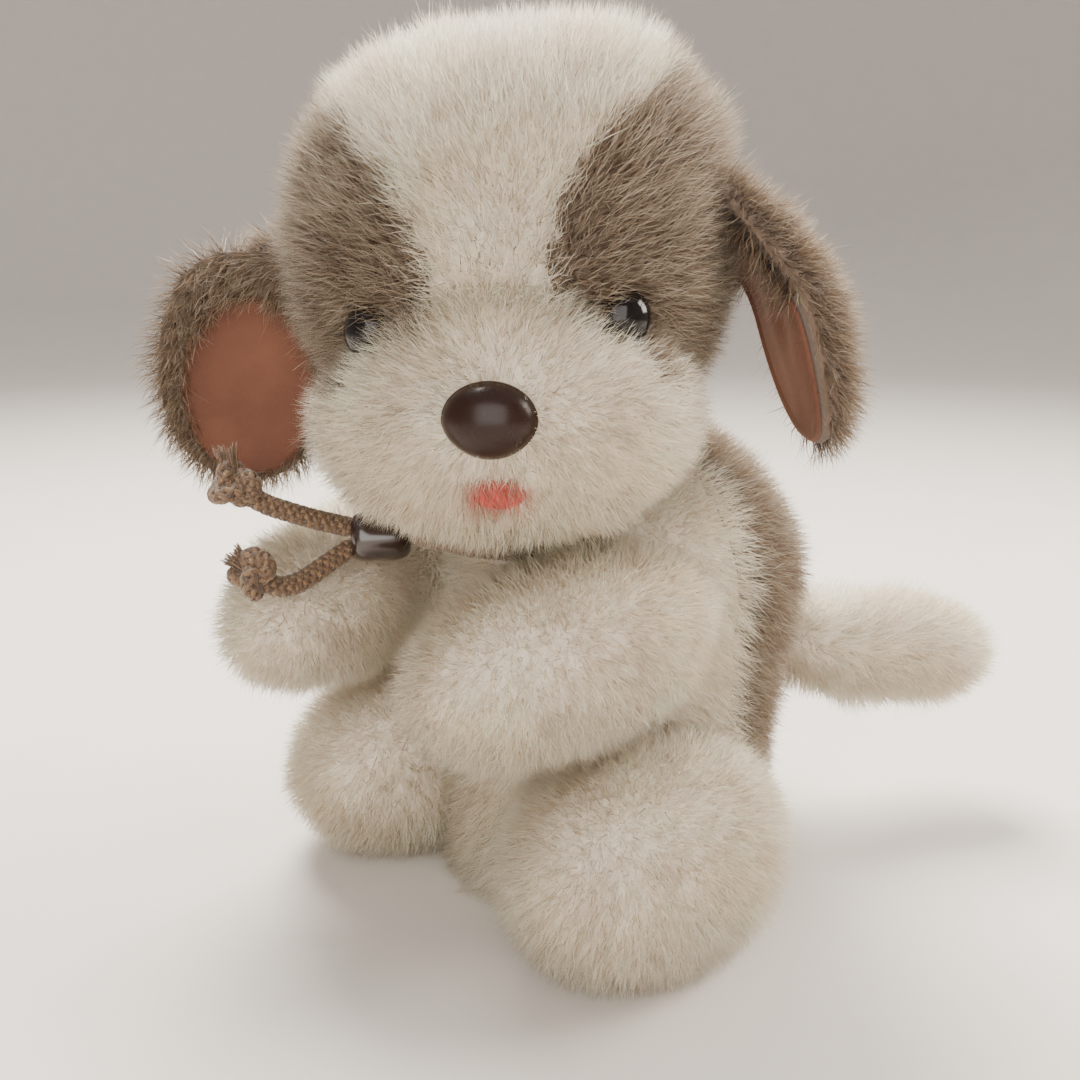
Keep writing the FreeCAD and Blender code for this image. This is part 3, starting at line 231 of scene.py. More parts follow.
def raise_bumps(tree, shader, height, strength, distance):
    """Bump the shader's normal by a height output."""
    bump = add(tree, "ShaderNodeBump", Strength=strength, Distance=distance)
    tree.links.new(height, bump.inputs["Height"])
    tree.links.new(bump.outputs["Normal"], shader.inputs["Normal"])


def mottled(name, first, second, roughness, scale=400, bump=0.3, depth=0.0003, **sockets):
    """A material whose colour and height vary with noise."""
    made, tree, shader = material(name, first, roughness, **sockets)
    grain = noise(tree, scale)
    tree.links.new(blend_colours(tree, grain, first, second), shader.inputs["Base Color"])
    raise_bumps(tree, shader, grain, bump, depth)
    return made


def pile_material():
    """Plush fibre: each strand's colour comes with its mesh, and light passes through it."""
    made, tree, shader = material("plush_fibre", (0.8, 0.75, 0.66), 0.45, Sheen_Weight=0.15,
                                  Specular_IOR_Level=0.35)
    tint = add(tree, "ShaderNodeAttribute", attribute_name="strand_colour")
    vary = remap(tree, noise(tree, 900, 1.0), To_Min=0.86, To_Max=1.12)
    scaled = add(tree, "ShaderNodeVectorMath", operation="SCALE")
    tree.links.new(tint.outputs["Color"], scaled.inputs[0])
    tree.links.new(vary, scaled.inputs["Scale"])
    tree.links.new(scaled.outputs["Vector"], shader.inputs["Base Color"])
    through = add(tree, "ShaderNodeBsdfTranslucent")
    tree.links.new(scaled.outputs["Vector"], through.inputs["Color"])
    mix = add(tree, "ShaderNodeMixShader", Fac=0.5)
    tree.links.new(shader.outputs["BSDF"], mix.inputs[1])
    tree.links.new(through.outputs["BSDF"], mix.inputs[2])
    tree.links.new(mix.outputs["Shader"], tree.nodes["Material Output"].inputs["Surface"])
    return made


def velour_material():
    """Rust-brown velour with brushed patches and a soft sheen."""
    made, tree, shader = material("ear_velour", (0.24, 0.07, 0.035), 0.85, Sheen_Weight=0.25,
                                  Sheen_Roughness=0.45)
    shader.inputs["Sheen Tint"].default_value = (1.0, 0.62, 0.45, 1)
    brushed = noise(tree, 60, 4.0)
    nap = noise(tree, 2200, 3.0)
    tree.links.new(blend_colours(tree, brushed, (0.045, 0.015, 0.008), (0.17, 0.060, 0.030)),
                   shader.inputs["Base Color"])
    raise_bumps(tree, shader, nap, 0.7, 0.0004)
    return made


def hard_material(name, colour, roughness, **sockets):
    """Moulded plastic or metal with a faint grain and slight unevenness of gloss."""
    made, tree, shader = material(name, colour, roughness, Coat_Roughness=0.08, **sockets)
    raise_bumps(tree, shader, noise(tree, 1500, 2.0), 0.08, 0.0001)
    worn = remap(tree, noise(tree, 120, 3.0), To_Min=roughness * 0.8, To_Max=min(1, roughness * 1.3))
    tree.links.new(worn, shader.inputs["Roughness"])
    return made


def braid_material():
    """Cord strands of brown yarn with straw-coloured fibres along them, their pale straw colour
    partly a painted highlight on the yarns.
    """
    made, tree, shader = material("braid", (0.2, 0.11, 0.06), 0.6, Sheen_Weight=0.25)
    tint = add(tree, "ShaderNodeAttribute", attribute_name="strand_colour")
    fibres = noise(tree, 2600, 2.0)
    mix = add(tree, "ShaderNodeMix", data_type="RGBA")
    # noise scatters pale straw fibres over the yarns, partly real fibre colour and partly painted
    # highlight
    straw_and_highlight = remap(tree, fibres, From_Min=0.57, From_Max=0.85)
    tree.links.new(straw_and_highlight, mix.inputs[0])
    tree.links.new(tint.outputs["Color"], mix.inputs[6])
    # the straw colour: paler fibres and painted highlight
    mix.inputs[7].default_value = (0.50, 0.31, 0.14, 1)
    tree.links.new(mix.outputs[2], shader.inputs["Base Color"])
    raise_bumps(tree, shader, fibres, 0.25, 0.0001)
    return made


# ---- meshes
def new_piece(name, points, faces, body, surface):
    """A piece from points in millimetres."""
    mesh = bpy.data.meshes.new(name)
    mesh.from_pydata((np.asarray(points) * MM).tolist(), [], [list(face) for face in faces])
    mesh.update()
    mesh.shade_smooth()
    return link_piece(name, mesh, body, surface)


def link_piece(name, mesh, body, surface):
    """A mesh as a piece that rides on a body."""
    mesh.materials.append(surface)
    piece = bpy.data.objects.new(name, mesh)
    bpy.context.scene.collection.objects.link(piece)
    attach(piece, body)
    return piece


def apply_modifiers(piece):
    """Replace a piece's mesh by what its modifiers make of it."""
    depsgraph = bpy.context.evaluated_depsgraph_get()
    mesh = bpy.data.meshes.new_from_object(piece.evaluated_get(depsgraph))
    piece.modifiers.clear()
    piece.data = mesh


def colour_points(mesh, colours):
    """Store a colour at each point of a mesh, for the fibres' materials."""
    tint = mesh.attributes.new("strand_colour", "FLOAT_COLOR", "POINT")
    rgba = np.ones((len(colours), 4), np.float32)
    rgba[:, :3] = colours
    tint.data.foreach_set("color", rgba.reshape(-1))


def circle(count):
    """Points evenly round a unit circle."""
    angles = [2 * math.pi * step / count for step in range(count)]
    return [(math.cos(angle), math.sin(angle)) for angle in angles]


def bands(start, count, columns, flipped=False):
    """Quads of some bands between closed rings of points, from the first ring's first point."""
    faces = []
    for low in range(start, start + count * columns, columns):
        for column in range(columns):
            after = (column + 1) % columns
            near, far = low + column, low + after
            if flipped:
                faces.append((near, far, far + columns, near + columns))
            else:
                faces.append((near, near + columns, far + columns, far))
    return faces


def disc_faces(rings, columns):
    """Faces of a disc: a fan round its middle point, then the bands between its rings."""
    fan = [(0, 1 + column, 1 + (column + 1) % columns) for column in range(columns)]
    return fan + bands(1, rings - 1, columns)


def sphere(rows=48, columns=96):
    """Unit sphere points and faces: quads in rows, triangles at the poles."""
    points = [(0, 0, 1)]
    for row in range(1, rows):
        down = math.pi * row / rows
        for across, along in circle(columns):
            points.append((math.sin(down) * across, math.sin(down) * along, math.cos(down)))
    points.append((0, 0, -1))
    last = len(points) - 1
    faces = []
    for column in range(columns):
        after = (column + 1) % columns
        faces.append((0, 1 + column, 1 + after))
        for row in range(rows - 2):
            start = 1 + row * columns
            faces.append((start + column, start + columns + column, start + columns + after,
                          start + after))
        foot = last - columns
        faces.append((foot + column, last, foot + after))
    return np.array(points), faces


def normals_of(points, faces):
    """Outward normals at the points of a closed mesh."""
    total = np.zeros_like(points)
    for size in {len(face) for face in faces}:
        rows = np.array([face for face in faces if len(face) == size])
        across = points[rows[:, 1]] - points[rows[:, 0]]
        along = points[rows[:, 2]] - points[rows[:, 0]]
        facing = np.cross(across, along)
        for corner in range(size):
            np.add.at(total, rows[:, corner], facing)
    return unit(total)


class Form:
    """A stuffed form: its skin's points and faces, and a test for what lies inside it."""

    def __init__(self, points, faces, inside):
        self.points = points
        self.faces = faces
        self.inside = inside
        self.normals = normals_of(points, faces)


def rounded_form(centre, radii, turn, shape=None):
    """An ellipsoid in its own turned frame, reshaped by a function of its unit sphere."""
    ball, faces = sphere()
    radii = np.array(radii, float)
    local = shape(ball) if shape else ball * radii
    points = np.array(centre) + local @ turn.T

    def inside(places, margin=0.0):
        at = (places - np.array(centre)) @ turn / np.maximum(radii - margin, 1)
        return np.einsum("ij,ij->i", at, at) < 1

    return Form(points, faces, inside)


def torso_section(height):
    """Middle, half width and half depth of the torso at each height."""
    table = np.array(TORSO, float)
    smooth = []
    for column in (1, 2, 3):
        slopes = np.gradient(table[:, column], table[:, 0])
        smooth.append(hermite(height, table[:, 0], table[:, column], slopes))
    return smooth


def hermite(at, knots, values, slopes):
    """A cubic curve through values at knots with given slopes."""
    index = np.clip(np.searchsorted(knots, at) - 1, 0, len(knots) - 2)
    span = knots[index + 1] - knots[index]
    share = (at - knots[index]) / span
    squared = share * share
    cubed = squared * share
    return ((2 * cubed - 3 * squared + 1) * values[index]
            + (cubed - 2 * squared + share) * span * slopes[index]
            + (3 * squared - 2 * cubed) * values[index + 1]
            + (cubed - squared) * span * slopes[index + 1])


def torso_form():
    """The torso's skin, with a flat seat and a rounded top."""
    ball, faces = sphere(64, 128)
    top = TORSO[-1][0] - SKIN_DEPTH
    share = np.arccos(np.clip(ball[:, 2], -1, 1)) / math.pi
    height = top * (1 - ramp(share, 0.10, 0.90) * 0.55 - np.clip((share - 0.1) / 0.8, 0, 1) * 0.45)
    close = np.minimum(ramp(share, -0.02, 0.10), 1 - ramp(share, 0.93, 1.0))
    middle, wide, deep = torso_section(np.clip(height, 0, TORSO[-1][0]))
    around = np.arctan2(ball[:, 1], ball[:, 0])
    skin = SKIN_DEPTH
    points = np.stack([(wide - skin) * close * np.cos(around),
                       middle + (deep - skin) * close * np.sin(around),
                       np.maximum(height, SEAT)], 1)

    def inside(places, margin=0.0):
        level = np.clip(places[:, 2], 0, TORSO[-1][0])
        centre, half_wide, half_deep = torso_section(level)
        across = places[:, 0] / np.maximum(half_wide - skin - margin, 1)
        along = (places[:, 1] - centre) / np.maximum(half_deep - skin - margin, 1)
        return (across ** 2 + along ** 2 < 1) & (places[:, 2] < TORSO[-1][0] - skin)

    return Form(points, faces, inside)


# ---- plush pile
# the materials that several pieces share, by name
SURFACES = {}
# the most strands that one piece holds
LIMIT = 60000
# strands that lie as close as this are gathered into one tuft
TUFT = 2.6
# the share of a strand's length up to its bend, and beyond it
STEM, TIP = 0.52, 0.48


def scatter(form, density, rng):
    """Random roots over a form's skin, with the normal at each."""
    corners = []
    for face in form.faces:
        corners.append((face[0], face[1], face[2]))
        if len(face) == 4:
            corners.append((face[0], face[2], face[3]))
    corners = np.array(corners)
    first, second, third = (form.points[corners[:, k]] for k in range(3))
    area = np.linalg.norm(np.cross(second - first, third - first), axis=1) / 2
    count = int(area.sum() * density)
    pick = rng.choice(len(corners), count, p=area / area.sum())
    one = np.sqrt(rng.random((count, 1)))
    two = rng.random((count, 1))
    weights = (1 - one, one * (1 - two), one * two)
    roots = sum(weight * form.points[corners[pick, k]] for k, weight in enumerate(weights))
    facing = unit(sum(weight * form.normals[corners[pick, k]] for k, weight in enumerate(weights)))
    return roots, facing


def strands(name, roots, facing, lean, lengths, widths, tints, body, rng):
    """Tapered ribbons from their roots, leaning along a direction, as pieces of limited size."""
    count = len(roots)
    jitter = np.stack([waves(roots, 9, k) for k in (1, 2, 3)], 1)
    loose = rng.normal(size=(count, 3))
    stem = unit(facing + lean + 0.27 * loose)
    cells = np.floor((roots + 1.5 * jitter) / TUFT)
    _, clump = np.unique(cells @ np.array([1.0, 1009.0, 1000003.0]), return_inverse=True)
    members = np.bincount(clump)
    centre = np.stack([np.bincount(clump, roots[:, k]) for k in range(3)], 1) / members[:, None]
    middle = roots + stem * (STEM * lengths)[:, None]
    droop = unit(stem + 0.45 * lean + 0.25 * rng.normal(size=(count, 3)))
    tip = middle + droop * (TIP * lengths)[:, None]
    pull = rng.uniform(0.0, 0.22, (count, 1))
    gather = centre[clump] - roots
    middle += gather * pull * 0.35
    tip += gather * pull
    across = unit(np.cross(stem, unit(facing + 0.9 * rng.normal(size=(count, 3)))))
    half = across * (widths / 2)[:, None]
    points = np.stack([roots - half, roots + half, middle - 0.7 * half, middle + 0.7 * half, tip], 1)
    points[..., 2] = np.maximum(points[..., 2], FIBRE_FLOOR)
    glow = unit(facing[:, None, :] * 0.9 + 0.35 * unit(tip - roots)[:, None, :]
                + 0.30 * unit(loose)[:, None, :] + np.zeros((1, 5, 1)))
    colours = np.stack([tints[0], tints[0], tints[1], tints[1], tints[2]], 1)
    parts = max(1, math.ceil(count / LIMIT))
    for index, chosen in enumerate(np.array_split(rng.permutation(count), parts)):
        label = name if parts == 1 else "%s_%d" % (name, index + 1)
        ribbon_piece(label, points[chosen], glow[chosen], colours[chosen], body)


def ribbon_piece(name, points, glow, colours, body):
    """One mesh of two-part ribbons: a quad and a triangle each."""
    count = len(points)
    mesh = bpy.data.meshes.new(name)
    mesh.vertices.add(count * 5)
    mesh.vertices.foreach_set("co", (points.reshape(-1) * MM).astype(np.float32))
    corners = np.array([0, 1, 3, 2, 2, 3, 4])
    mesh.loops.add(count * 7)
    mesh.polygons.add(count * 2)
    start = np.arange(count)[:, None]
    mesh.loops.foreach_set("vertex_index", (start * 5 + corners).reshape(-1).astype(np.int32))
    firsts = start * 7 + np.array([0, 4])
    mesh.polygons.foreach_set("loop_start", firsts.reshape(-1).astype(np.int32))
    mesh.update(calc_edges=True)
    colour_points(mesh, colours.reshape(-1, 3))
    side = math.ceil(math.sqrt(count))
    cell = np.stack([start[:, 0] % side, start[:, 0] // side], 1)[:, None, :]
    shape = np.array([(0.15, 0.1), (0.85, 0.1), (0.85, 0.5), (0.15, 0.5),
                      (0.15, 0.5), (0.85, 0.5), (0.5, 0.95)])
    layer = mesh.uv_layers.new(name="OFBake")
    layer.uv.foreach_set("vector", ((cell + shape) / side).reshape(-1).astype(np.float32))
    mesh.normals_split_custom_set_from_vertices(glow.reshape(-1, 3).tolist())
    link_piece(name, mesh, body, SURFACES["pile"])


# the fibres' colours along their length, and the pale tips of the brown ones
WHITE = np.array([0.98, 0.88, 0.73])
WHITE_ROOT = np.array([0.95, 0.80, 0.62])
BROWN = np.array([0.25, 0.165, 0.10])
BROWN_ROOT = np.array([0.10, 0.062, 0.038])
FROST = np.array([0.82, 0.71, 0.54])
RED = np.array([0.60, 0.10, 0.075])


def tint_of(roots, brown, rng, frosted=0.78):
    """Root, middle and tip colours: white, or brown with some frosted tips, by a share."""
    count = len(roots)
    share = brown[:, None]
    vary = (1 + 0.07 * rng.normal(size=(count, 1)) + 0.05 * waves(roots, 22, 11)[:, None])
    warm = np.clip(0.5 + 0.5 * waves(roots, 30, 12)[:, None], 0, 1)
    white = WHITE * (1 - warm * np.array([0.0, 0.02, 0.06]))
    tip_brown = np.where(rng.random((count, 1)) < frosted,
                         FROST * rng.uniform(0.6, 1.15, (count, 1)), BROWN * 1.2)
    low = WHITE_ROOT * (1 - share) + BROWN_ROOT * share
    mid = white * (1 - share) + (0.75 * BROWN * rng.uniform(0.6, 1.35, (count, 1))
                                 + 0.25 * tip_brown) * share
    high = white * 1.03 * (1 - share) + tip_brown * share
    return [np.clip(part * vary, 0.01, 0.97) for part in (low, mid, high)]


def pile(name, form, body, density, length, comb, clear_of, brown=None, keep=(), seed=1,
         width=0.21, frosted=0.78, lean=0.3, paint=None):
    """Sew pile over a form wherever it isn't inside its neighbours."""
    rng = np.random.default_rng(seed)
    roots, facing = scatter(form, density, rng)
    held = np.ones(len(roots), bool)
    for other, margin in clear_of:
        held &= ~other.inside(roots, margin)
    for test in keep:
        held &= test(roots, facing)
    roots, facing = roots[held], facing[held]
    along = comb(roots)
    along = along - facing * np.einsum("ij,ij->i", along, facing)[:, None]
    sway = np.stack([waves(roots, 26, seed + k) for k in range(3)], 1)
    swept = unit(unit(along) + 0.35 * sway)
    count = len(roots)
    lengths = length * rng.uniform(0.72, 1.08, count) * (1 + 0.10 * waves(roots, 18, seed + 5))
    guard = rng.random(count) < 0.05
    lengths = np.where(guard, lengths * 1.32, lengths)
    widths = np.where(guard, 0.6, 1.0) * width * rng.uniform(0.75, 1.25, count)
    share = np.zeros(count) if brown is None else brown(roots)
    blur = rng.random(count)
    share = np.where(share > blur, 1.0, 0.0)
    tints = tint_of(roots, share, rng, frosted)
    if paint:
        tints = paint(roots, tints, rng)
    strands(name, roots, facing, swept * lean, lengths, widths, tints, body, rng)


def padded_piece(name, points, faces, body, slot, node):
    """A stuffed skin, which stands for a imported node."""
    piece = new_piece(name, points, faces, body, SURFACES[slot])
    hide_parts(node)


def panel(name, form, chosen, body, slot, node):
    """Those faces of a form that a test picks, as a sewn panel with its own thickness."""
    points = form.points
    faces = [face for face in form.faces if chosen(points[list(face)].mean(0))]
    used = sorted({corner for face in faces for corner in face})
    place = {corner: index for index, corner in enumerate(used)}
    kept = [tuple(place[corner] for corner in face) for face in faces]
    outer = points[used]
    inner = outer - form.normals[used] * PANEL_THICK
    shift = len(used)
    sides = {}
    for face in kept:
        for start, end in zip(face, face[1:] + face[:1]):
            if (end, start) in sides:
                del sides[(end, start)]
            else:
                sides[(start, end)] = True
    walls = [(start, start + shift, end + shift, end) for start, end in sides]
    backs = [tuple(corner + shift for corner in face[::-1]) for face in kept]
    padded_piece(name, np.vstack([outer, inner]), kept + backs + walls, body, slot, node)


# ---- the stuffed forms
def head_place(x, y, z):
    """A point given on the head, in the puppy's own frame."""
    return on_head([(x, y, z)])[0]


def forms():
    """Every stuffed form by name."""
    made = {"torso": torso_form()}
    made["head"] = rounded_form(head_place(0, 0, 57), HEAD_RADII, HEAD_TURN, head_shape)
    made["muzzle"] = rounded_form(head_place(0, -32, 24), MUZZLE_RADII, HEAD_TURN, muzzle_shape)
    dip = turned("X", 10)
    made["left_foreleg"] = rounded_form((34, -46, 80), (18.5, 36.5, 19.5), turned("Z", -10) @ dip)
    made["right_foreleg"] = rounded_form((-45, -58, 80), (18.5, 36.5, 19.5), turned("Z", 14) @ dip)
    made["right_shoulder"] = rounded_form((-38, -30, 83), (14.5, 18.5, 16.5), np.eye(3))
    made["left_hind"] = rounded_form((44, -27, 26), (25, 36.5, 27), np.eye(3))
    made["right_hind"] = rounded_form((-42, -38, 26), (24, 34.5, 25.5), turned("Z", -8))
    for side in ("left_hind", "right_hind"):
        made[side].points[:, 2] = np.maximum(made[side].points[:, 2], SEAT)
        made[side].normals = normals_of(made[side].points, made[side].faces)
    made["tail"] = rounded_form(tail_place(0, 69, 0), TAIL_RADII, TAIL_TURN, tail_shape)
    for ear, radii in (("left_ear", (9, 19, 36)), ("right_ear", (24, 8, 31))):
        made[ear] = rounded_form(head_place(*EARS[ear][0]), radii, ear_turn(ear), EAR_SHAPES[ear])
    made["right_ear_root"] = rounded_form(head_place(-54, 3, 57), (12, 6.5, 9), HEAD_TURN)
    return made


def tail_place(x, y, z):
    """A point given on the tail, with Y out along it."""
    return np.array(TAIL_AXIS) + TAIL_TURN @ np.array([x, y, z], float)


def head_shape(ball):
    """A ball whose crown is squared off at its sides, more so on its left."""
    corner = 4 * ball[:, 0] ** 2 * ball[:, 2] ** 2 * (ball[:, 2] > 0)
    swell = np.where(ball[:, 0] > 0, 0.15, 0.09)
    return ball * np.array(HEAD_RADII) * (1 + swell * corner)[:, None]


def muzzle_shape(ball):
    """Wide cheeks with a slight parting below the nose."""
    local = ball * np.array(MUZZLE_RADII)
    front = ramp(-ball[:, 1], 0.5, 1.0)
    parting = np.exp(-(local[:, 0] / 4.5) ** 2) * ramp(-ball[:, 2], -0.1, 0.5) * front
    local[:, 1] += 1.6 * parting
    bridge = np.exp(-(local[:, 0] / 19) ** 2) * ramp(ball[:, 2], 0.25, 1.0)
    local[:, 2] += 8 * bridge
    return local


def tail_shape(ball):
    """Blunt at its end and drooping a little, drawn in and lifted where the arm enters it."""
    local = ball * np.array(TAIL_RADII)
    blunt = np.sqrt(1 + ball[:, 1] ** 2)
    inner = ramp(-ball[:, 1], 0.1, 1.0)
    local[:, 0] *= blunt * (1 - 0.15 * inner)
    local[:, 2] *= blunt * (1 - 0.15 * inner)
    local[:, 2] += 5 * inner - 3 * ramp(ball[:, 1], 0.0, 1.0)
    return local


def ear_shape(ball, thick, wide, long, cup, bend):
    """An ear flap: thick on its fur side, cupped on its lining side, bent in at its root."""
    reach = ball[:, 1] ** 2 + ball[:, 2] ** 2
    depth = np.where(ball[:, 0] > 0, ball[:, 0] * thick, ball[:, 0] * 3 + cup * (1 - reach))
    depth -= bend * ramp(ball[:, 2], -0.1, 0.95)
    across = np.sign(ball[:, 1]) * np.abs(ball[:, 1]) ** 0.86 * wide
    down = np.sign(ball[:, 2]) * np.abs(ball[:, 2]) ** 0.92 * long
    return np.stack([depth, across, down], 1)


def left_ear_shape(ball):
    """Fur on the +X side, lining towards the head."""
    return ear_shape(ball, 8.5, 17.5, 34.5, 1.5, 10)


def right_ear_shape(ball):
    """Fur on the +Y side, lining towards -Y."""
    swapped = np.stack([ball[:, 1], -ball[:, 0], ball[:, 2]], 1)
    local = ear_shape(swapped, 7.0, 22.5, 29.5, 2.5, 0)
    return np.stack([-local[:, 1], local[:, 0], local[:, 2]], 1)


EAR_SHAPES = {"left_ear": left_ear_shape, "right_ear": right_ear_shape}
# each ear's centre, tilt, half width, half length, its lining's shift and size, and its twist
EARS = {"left_ear": ((65, -2, 42), -14, 17.5, 34.5, (0.0, -0.14), 0.84, 15),
        "right_ear": ((-72, 3, 34), 12, 22.5, 29.5, (0.12, -0.14), 0.77, 0)}


def ear_turn(name):
    """An ear's own frame."""
    return HEAD_TURN @ turned("Z", EARS[name][-1]) @ turned("Y", EARS[name][1])


def bare_lining(name):
    """A test that keeps strands off an ear's lining but lets them cover the rim round it."""
    centre, _, wide, long, shift, share, _ = EARS[name]
    turn = ear_turn(name)
    inward = lining_side(name)

    def keep(roots, facing):
        local = (roots - head_place(*centre)) @ turn
        across = local[:, 1 if name == "left_ear" else 0] / wide - shift[0]
        down = local[:, 2] / long - shift[1]
        outside = np.hypot(across, down) > share - 0.02
        if name == "left_ear":
            outside &= down > 0.3
        return (facing @ inward < 0.3) | outside

    return keep


# ---- where the plush is brown
def blaze(places):
    """Half width of the white blaze at places on the head."""
    front = np.interp(places[:, 2], [20, 56, 68, 78, 90, 97, 104], [11, 13, 14.5, 20, 33, 38, 40])
    rear = np.interp(places[:, 2], [10, 40, 70, 90, 104], [11, 13, 20, 32, 40])
    back = ramp(places[:, 1], -8, 12)
    return front * (1 - back) + rear * back


def head_brown(points):
    """Share of brown strands on the head: the patches round the eyes and ears."""
    places = from_head(points)
    edge = blaze(places) + 2.0 * waves(points, 14, 21)
    share = ramp(np.abs(places[:, 0]) - edge, -2.0, 2.5)
    low = 27 - 6 * ramp(places[:, 1], -25, 5)
    return share * ramp(places[:, 2] + 2.5 * waves(points, 16, 22), low - 3, low + 4)


def torso_brown(points):
    """Share of brown strands on the torso: the back, down to the seat's white rim."""
    edge = SPLIT - 2 + 6 * ramp(points[:, 2], 30, 95) - 10 * ramp(-points[:, 2], -42, -16)
    back = ramp(points[:, 1] - edge + 1.5 * waves(points, 18, 23), -2, 2)
    return back * ramp(points[:, 2] + 3 * waves(points, 20, 24), 10, 20)


def clear_of_eyes(roots, facing):
    """Keep strands out from under the moulded eyes."""
    away = roots[:, None] - on_head(EYES)
    return np.linalg.norm(away, axis=2).min(1) > EYE_CLEAR


def mouth_paint(roots, tints, rng):
    """Red fibres at the mouth, fading into the white round it."""
    middle = head_place(*MOUTH)
    away = (roots - middle) @ HEAD_TURN
    reach = (away[:, 0] / 6.2) ** 2 + (away[:, 2] / 3.6) ** 2
    share = (1 - ramp(reach, 0.5, 1.7))[:, None] * rng.uniform(0.6, 1.0, (len(roots), 1))
    return [part * (1 - share) + RED * share for part in tints]


def away_from(point, fall=0.0):
    """A comb direction that leads away from a point, with a share of falling."""
    centre = np.array(point, float)

    def comb(roots):
        return unit(roots - centre) + np.array([0, 0, -fall])

    return comb


def along(vector):
    """Pile combed one way."""
    heading = np.array(vector, float)

    def comb(roots):
        return np.tile(heading, (len(roots), 1))

    return comb


def patch_side(centre):
    """0 in the head's white blaze, 1 or -1 on the patch left or right of it."""
    place = from_head(centre[None])
    return 0 if abs(place[0, 0]) < blaze(place)[0] else math.copysign(1, place[0, 0])


def off_floor(roots, facing):
    """Keep strands off what rests on the floor."""
    return (roots[:, 2] > 2.5) | (facing[:, 2] > -0.3)


# the legs, each with those that its pile stays clear of
LEGS = {"left_foreleg": [], "right_foreleg": [], "right_shoulder": ["right_foreleg"],
        "left_hind": ["left_foreleg"], "right_hind": []}
# whole skins: the form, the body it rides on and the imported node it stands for
SKINS = [("muzzle", "head", "muzzle_plush"), ("left_foreleg", "torso", "left_foreleg"),
         ("right_foreleg", "torso", "right_foreleg"), ("left_hind", "torso", "left_hind_leg"),
         ("right_hind", "torso", "right_hind_leg"), ("tail", "tail", "tail_plush"),
         ("left_ear", "left_ear", "left_ear_fur"), ("right_ear", "right_ear", "right_ear_fur"),
         ("right_ear_root", "right_ear", "right_ear_fur")]


def plush(made):
    """Skins and pile of every stuffed part."""
    white, brown = "white_plush", "brown_plush"
    for slot, name, first, second in (
            (white, "white_backing", (0.80, 0.74, 0.65), (0.66, 0.58, 0.49)),
            (brown, "brown_backing", (0.10, 0.065, 0.045), (0.17, 0.115, 0.08))):
        SURFACES[slot] = mottled(name, first, second, 0.9, 700, 0.6, 0.0006, Sheen_Weight=0.3)
    torso, head, muzzle = made["torso"], made["head"], made["muzzle"]
    panel("torso_front_skin", torso, lambda c: c[1] < SPLIT, "torso", white, "torso_front_panel")
    panel("torso_back_skin", torso, lambda c: c[1] >= SPLIT, "torso", brown, "torso_back_panel")
    for side, part, slot in ((0, "centre", white), (1, "left", brown), (-1, "right", brown)):
        panel("head_%s_skin" % part, head, lambda c, side=side: patch_side(c) == side, "head", slot,
              "head_%s_panel" % part)
    for name, body, node in SKINS:
        padded_piece(name + "_skin", made[name].points, made[name].faces, body,
                     brown if "ear" in name.split("_") else white, node)

    pile("head_fur", head, "head", 3.0, 9.6, away_from(head_place(0, -50, 30), 0.1),
         [(muzzle, 1.0)], head_brown, seed=3, keep=[clear_of_eyes], lean=0.35)
    pile("muzzle_fur", muzzle, "head", 3.5, 7.2, away_from(head_place(*NOSE), 0.2),
         [(head, 1.0)], head_brown_low, seed=5, paint=mouth_paint, lean=0.4, width=0.20,
         keep=[clear_of_eyes, clear_of_nose])
    pile("torso_fur", torso, "torso", 2.6, 9.0, along((0, 0.15, -1.0)),
         [(made[leg], 1.5) for leg in LEGS] + [(head, -2)], torso_brown, seed=7, frosted=0.6,
         keep=[off_floor, clear_of_neck])
    for index, (name, others) in enumerate(LEGS.items()):
        blocked = [(torso, 1.5)] + [(made[other], 1.5) for other in others]
        pile(name + "_fur", made[name], "torso", 3.0, 8.0, along((0.1, -0.6, -0.8)), blocked,
             seed=20 + index, keep=[off_floor])
    pile("tail_fur", made["tail"], "tail", 3.0, 9.0,
         along(TAIL_TURN @ np.array([0, 1, -0.2])), [(torso, 1.0)], seed=31, lean=0.4)
    ears_fur(made)


def head_brown_low(points):
    """The brown patches run a little way onto the cheeks under the eyes."""
    places = from_head(points)
    edge = 24 + 8 * ramp(-places[:, 1], 25, 45) + 1.5 * waves(points, 12, 25)
    share = ramp(np.abs(places[:, 0]) - edge, -2, 2)
    return share * ramp(places[:, 2] + 2 * waves(points, 12, 26), 30, 37)


def clear_of_nose(roots, facing):
    """Keep strands out from under the moulded nose."""
    away = (roots - head_place(*NOSE)) @ HEAD_TURN
    return (away[:, 0] / 8.4) ** 2 + (away[:, 2] / 6.4) ** 2 > 1


def clear_of_neck(roots, facing):
    """Keep strands out of the collar and from under the head's neck."""
    reach = np.hypot(roots[:, 0] - NECK[0], roots[:, 1] - NECK[1])
    return (reach > COLLAR_RADIUS - 4) | (roots[:, 2] < COLLAR_HIGH - 8)


def lining_side(name):
    """The direction that an ear's lining faces."""
    facing = (-1.0, 0, 0) if name == "left_ear" else (0, -1.0, 0)
    return ear_turn(name) @ np.array(facing)


def all_brown(points):
    """Brown strands everywhere."""
    return np.ones(len(points))


def ears_fur(made):
    """Dark frosted pile over each ear's outside and rim, and the right one's root."""
    for index, name in enumerate(("left_ear", "right_ear")):
        pile(name + "_pile", made[name], name, 3.0, 8.8, along((0, 0, -1)),
             [(made["head"], 1.0)], all_brown, seed=41 + index, keep=[bare_lining(name)],
             frosted=0.45, lean=0.4)
    pile("right_ear_root_pile", made["right_ear_root"], "right_ear", 3.0, 8.0,
         along((0, 0, -1)), [(made["right_ear"], 1.0)], all_brown, seed=44, frosted=0.45,
         lean=0.4)


# ---- ear linings
VELOUR_THICK = 0.7


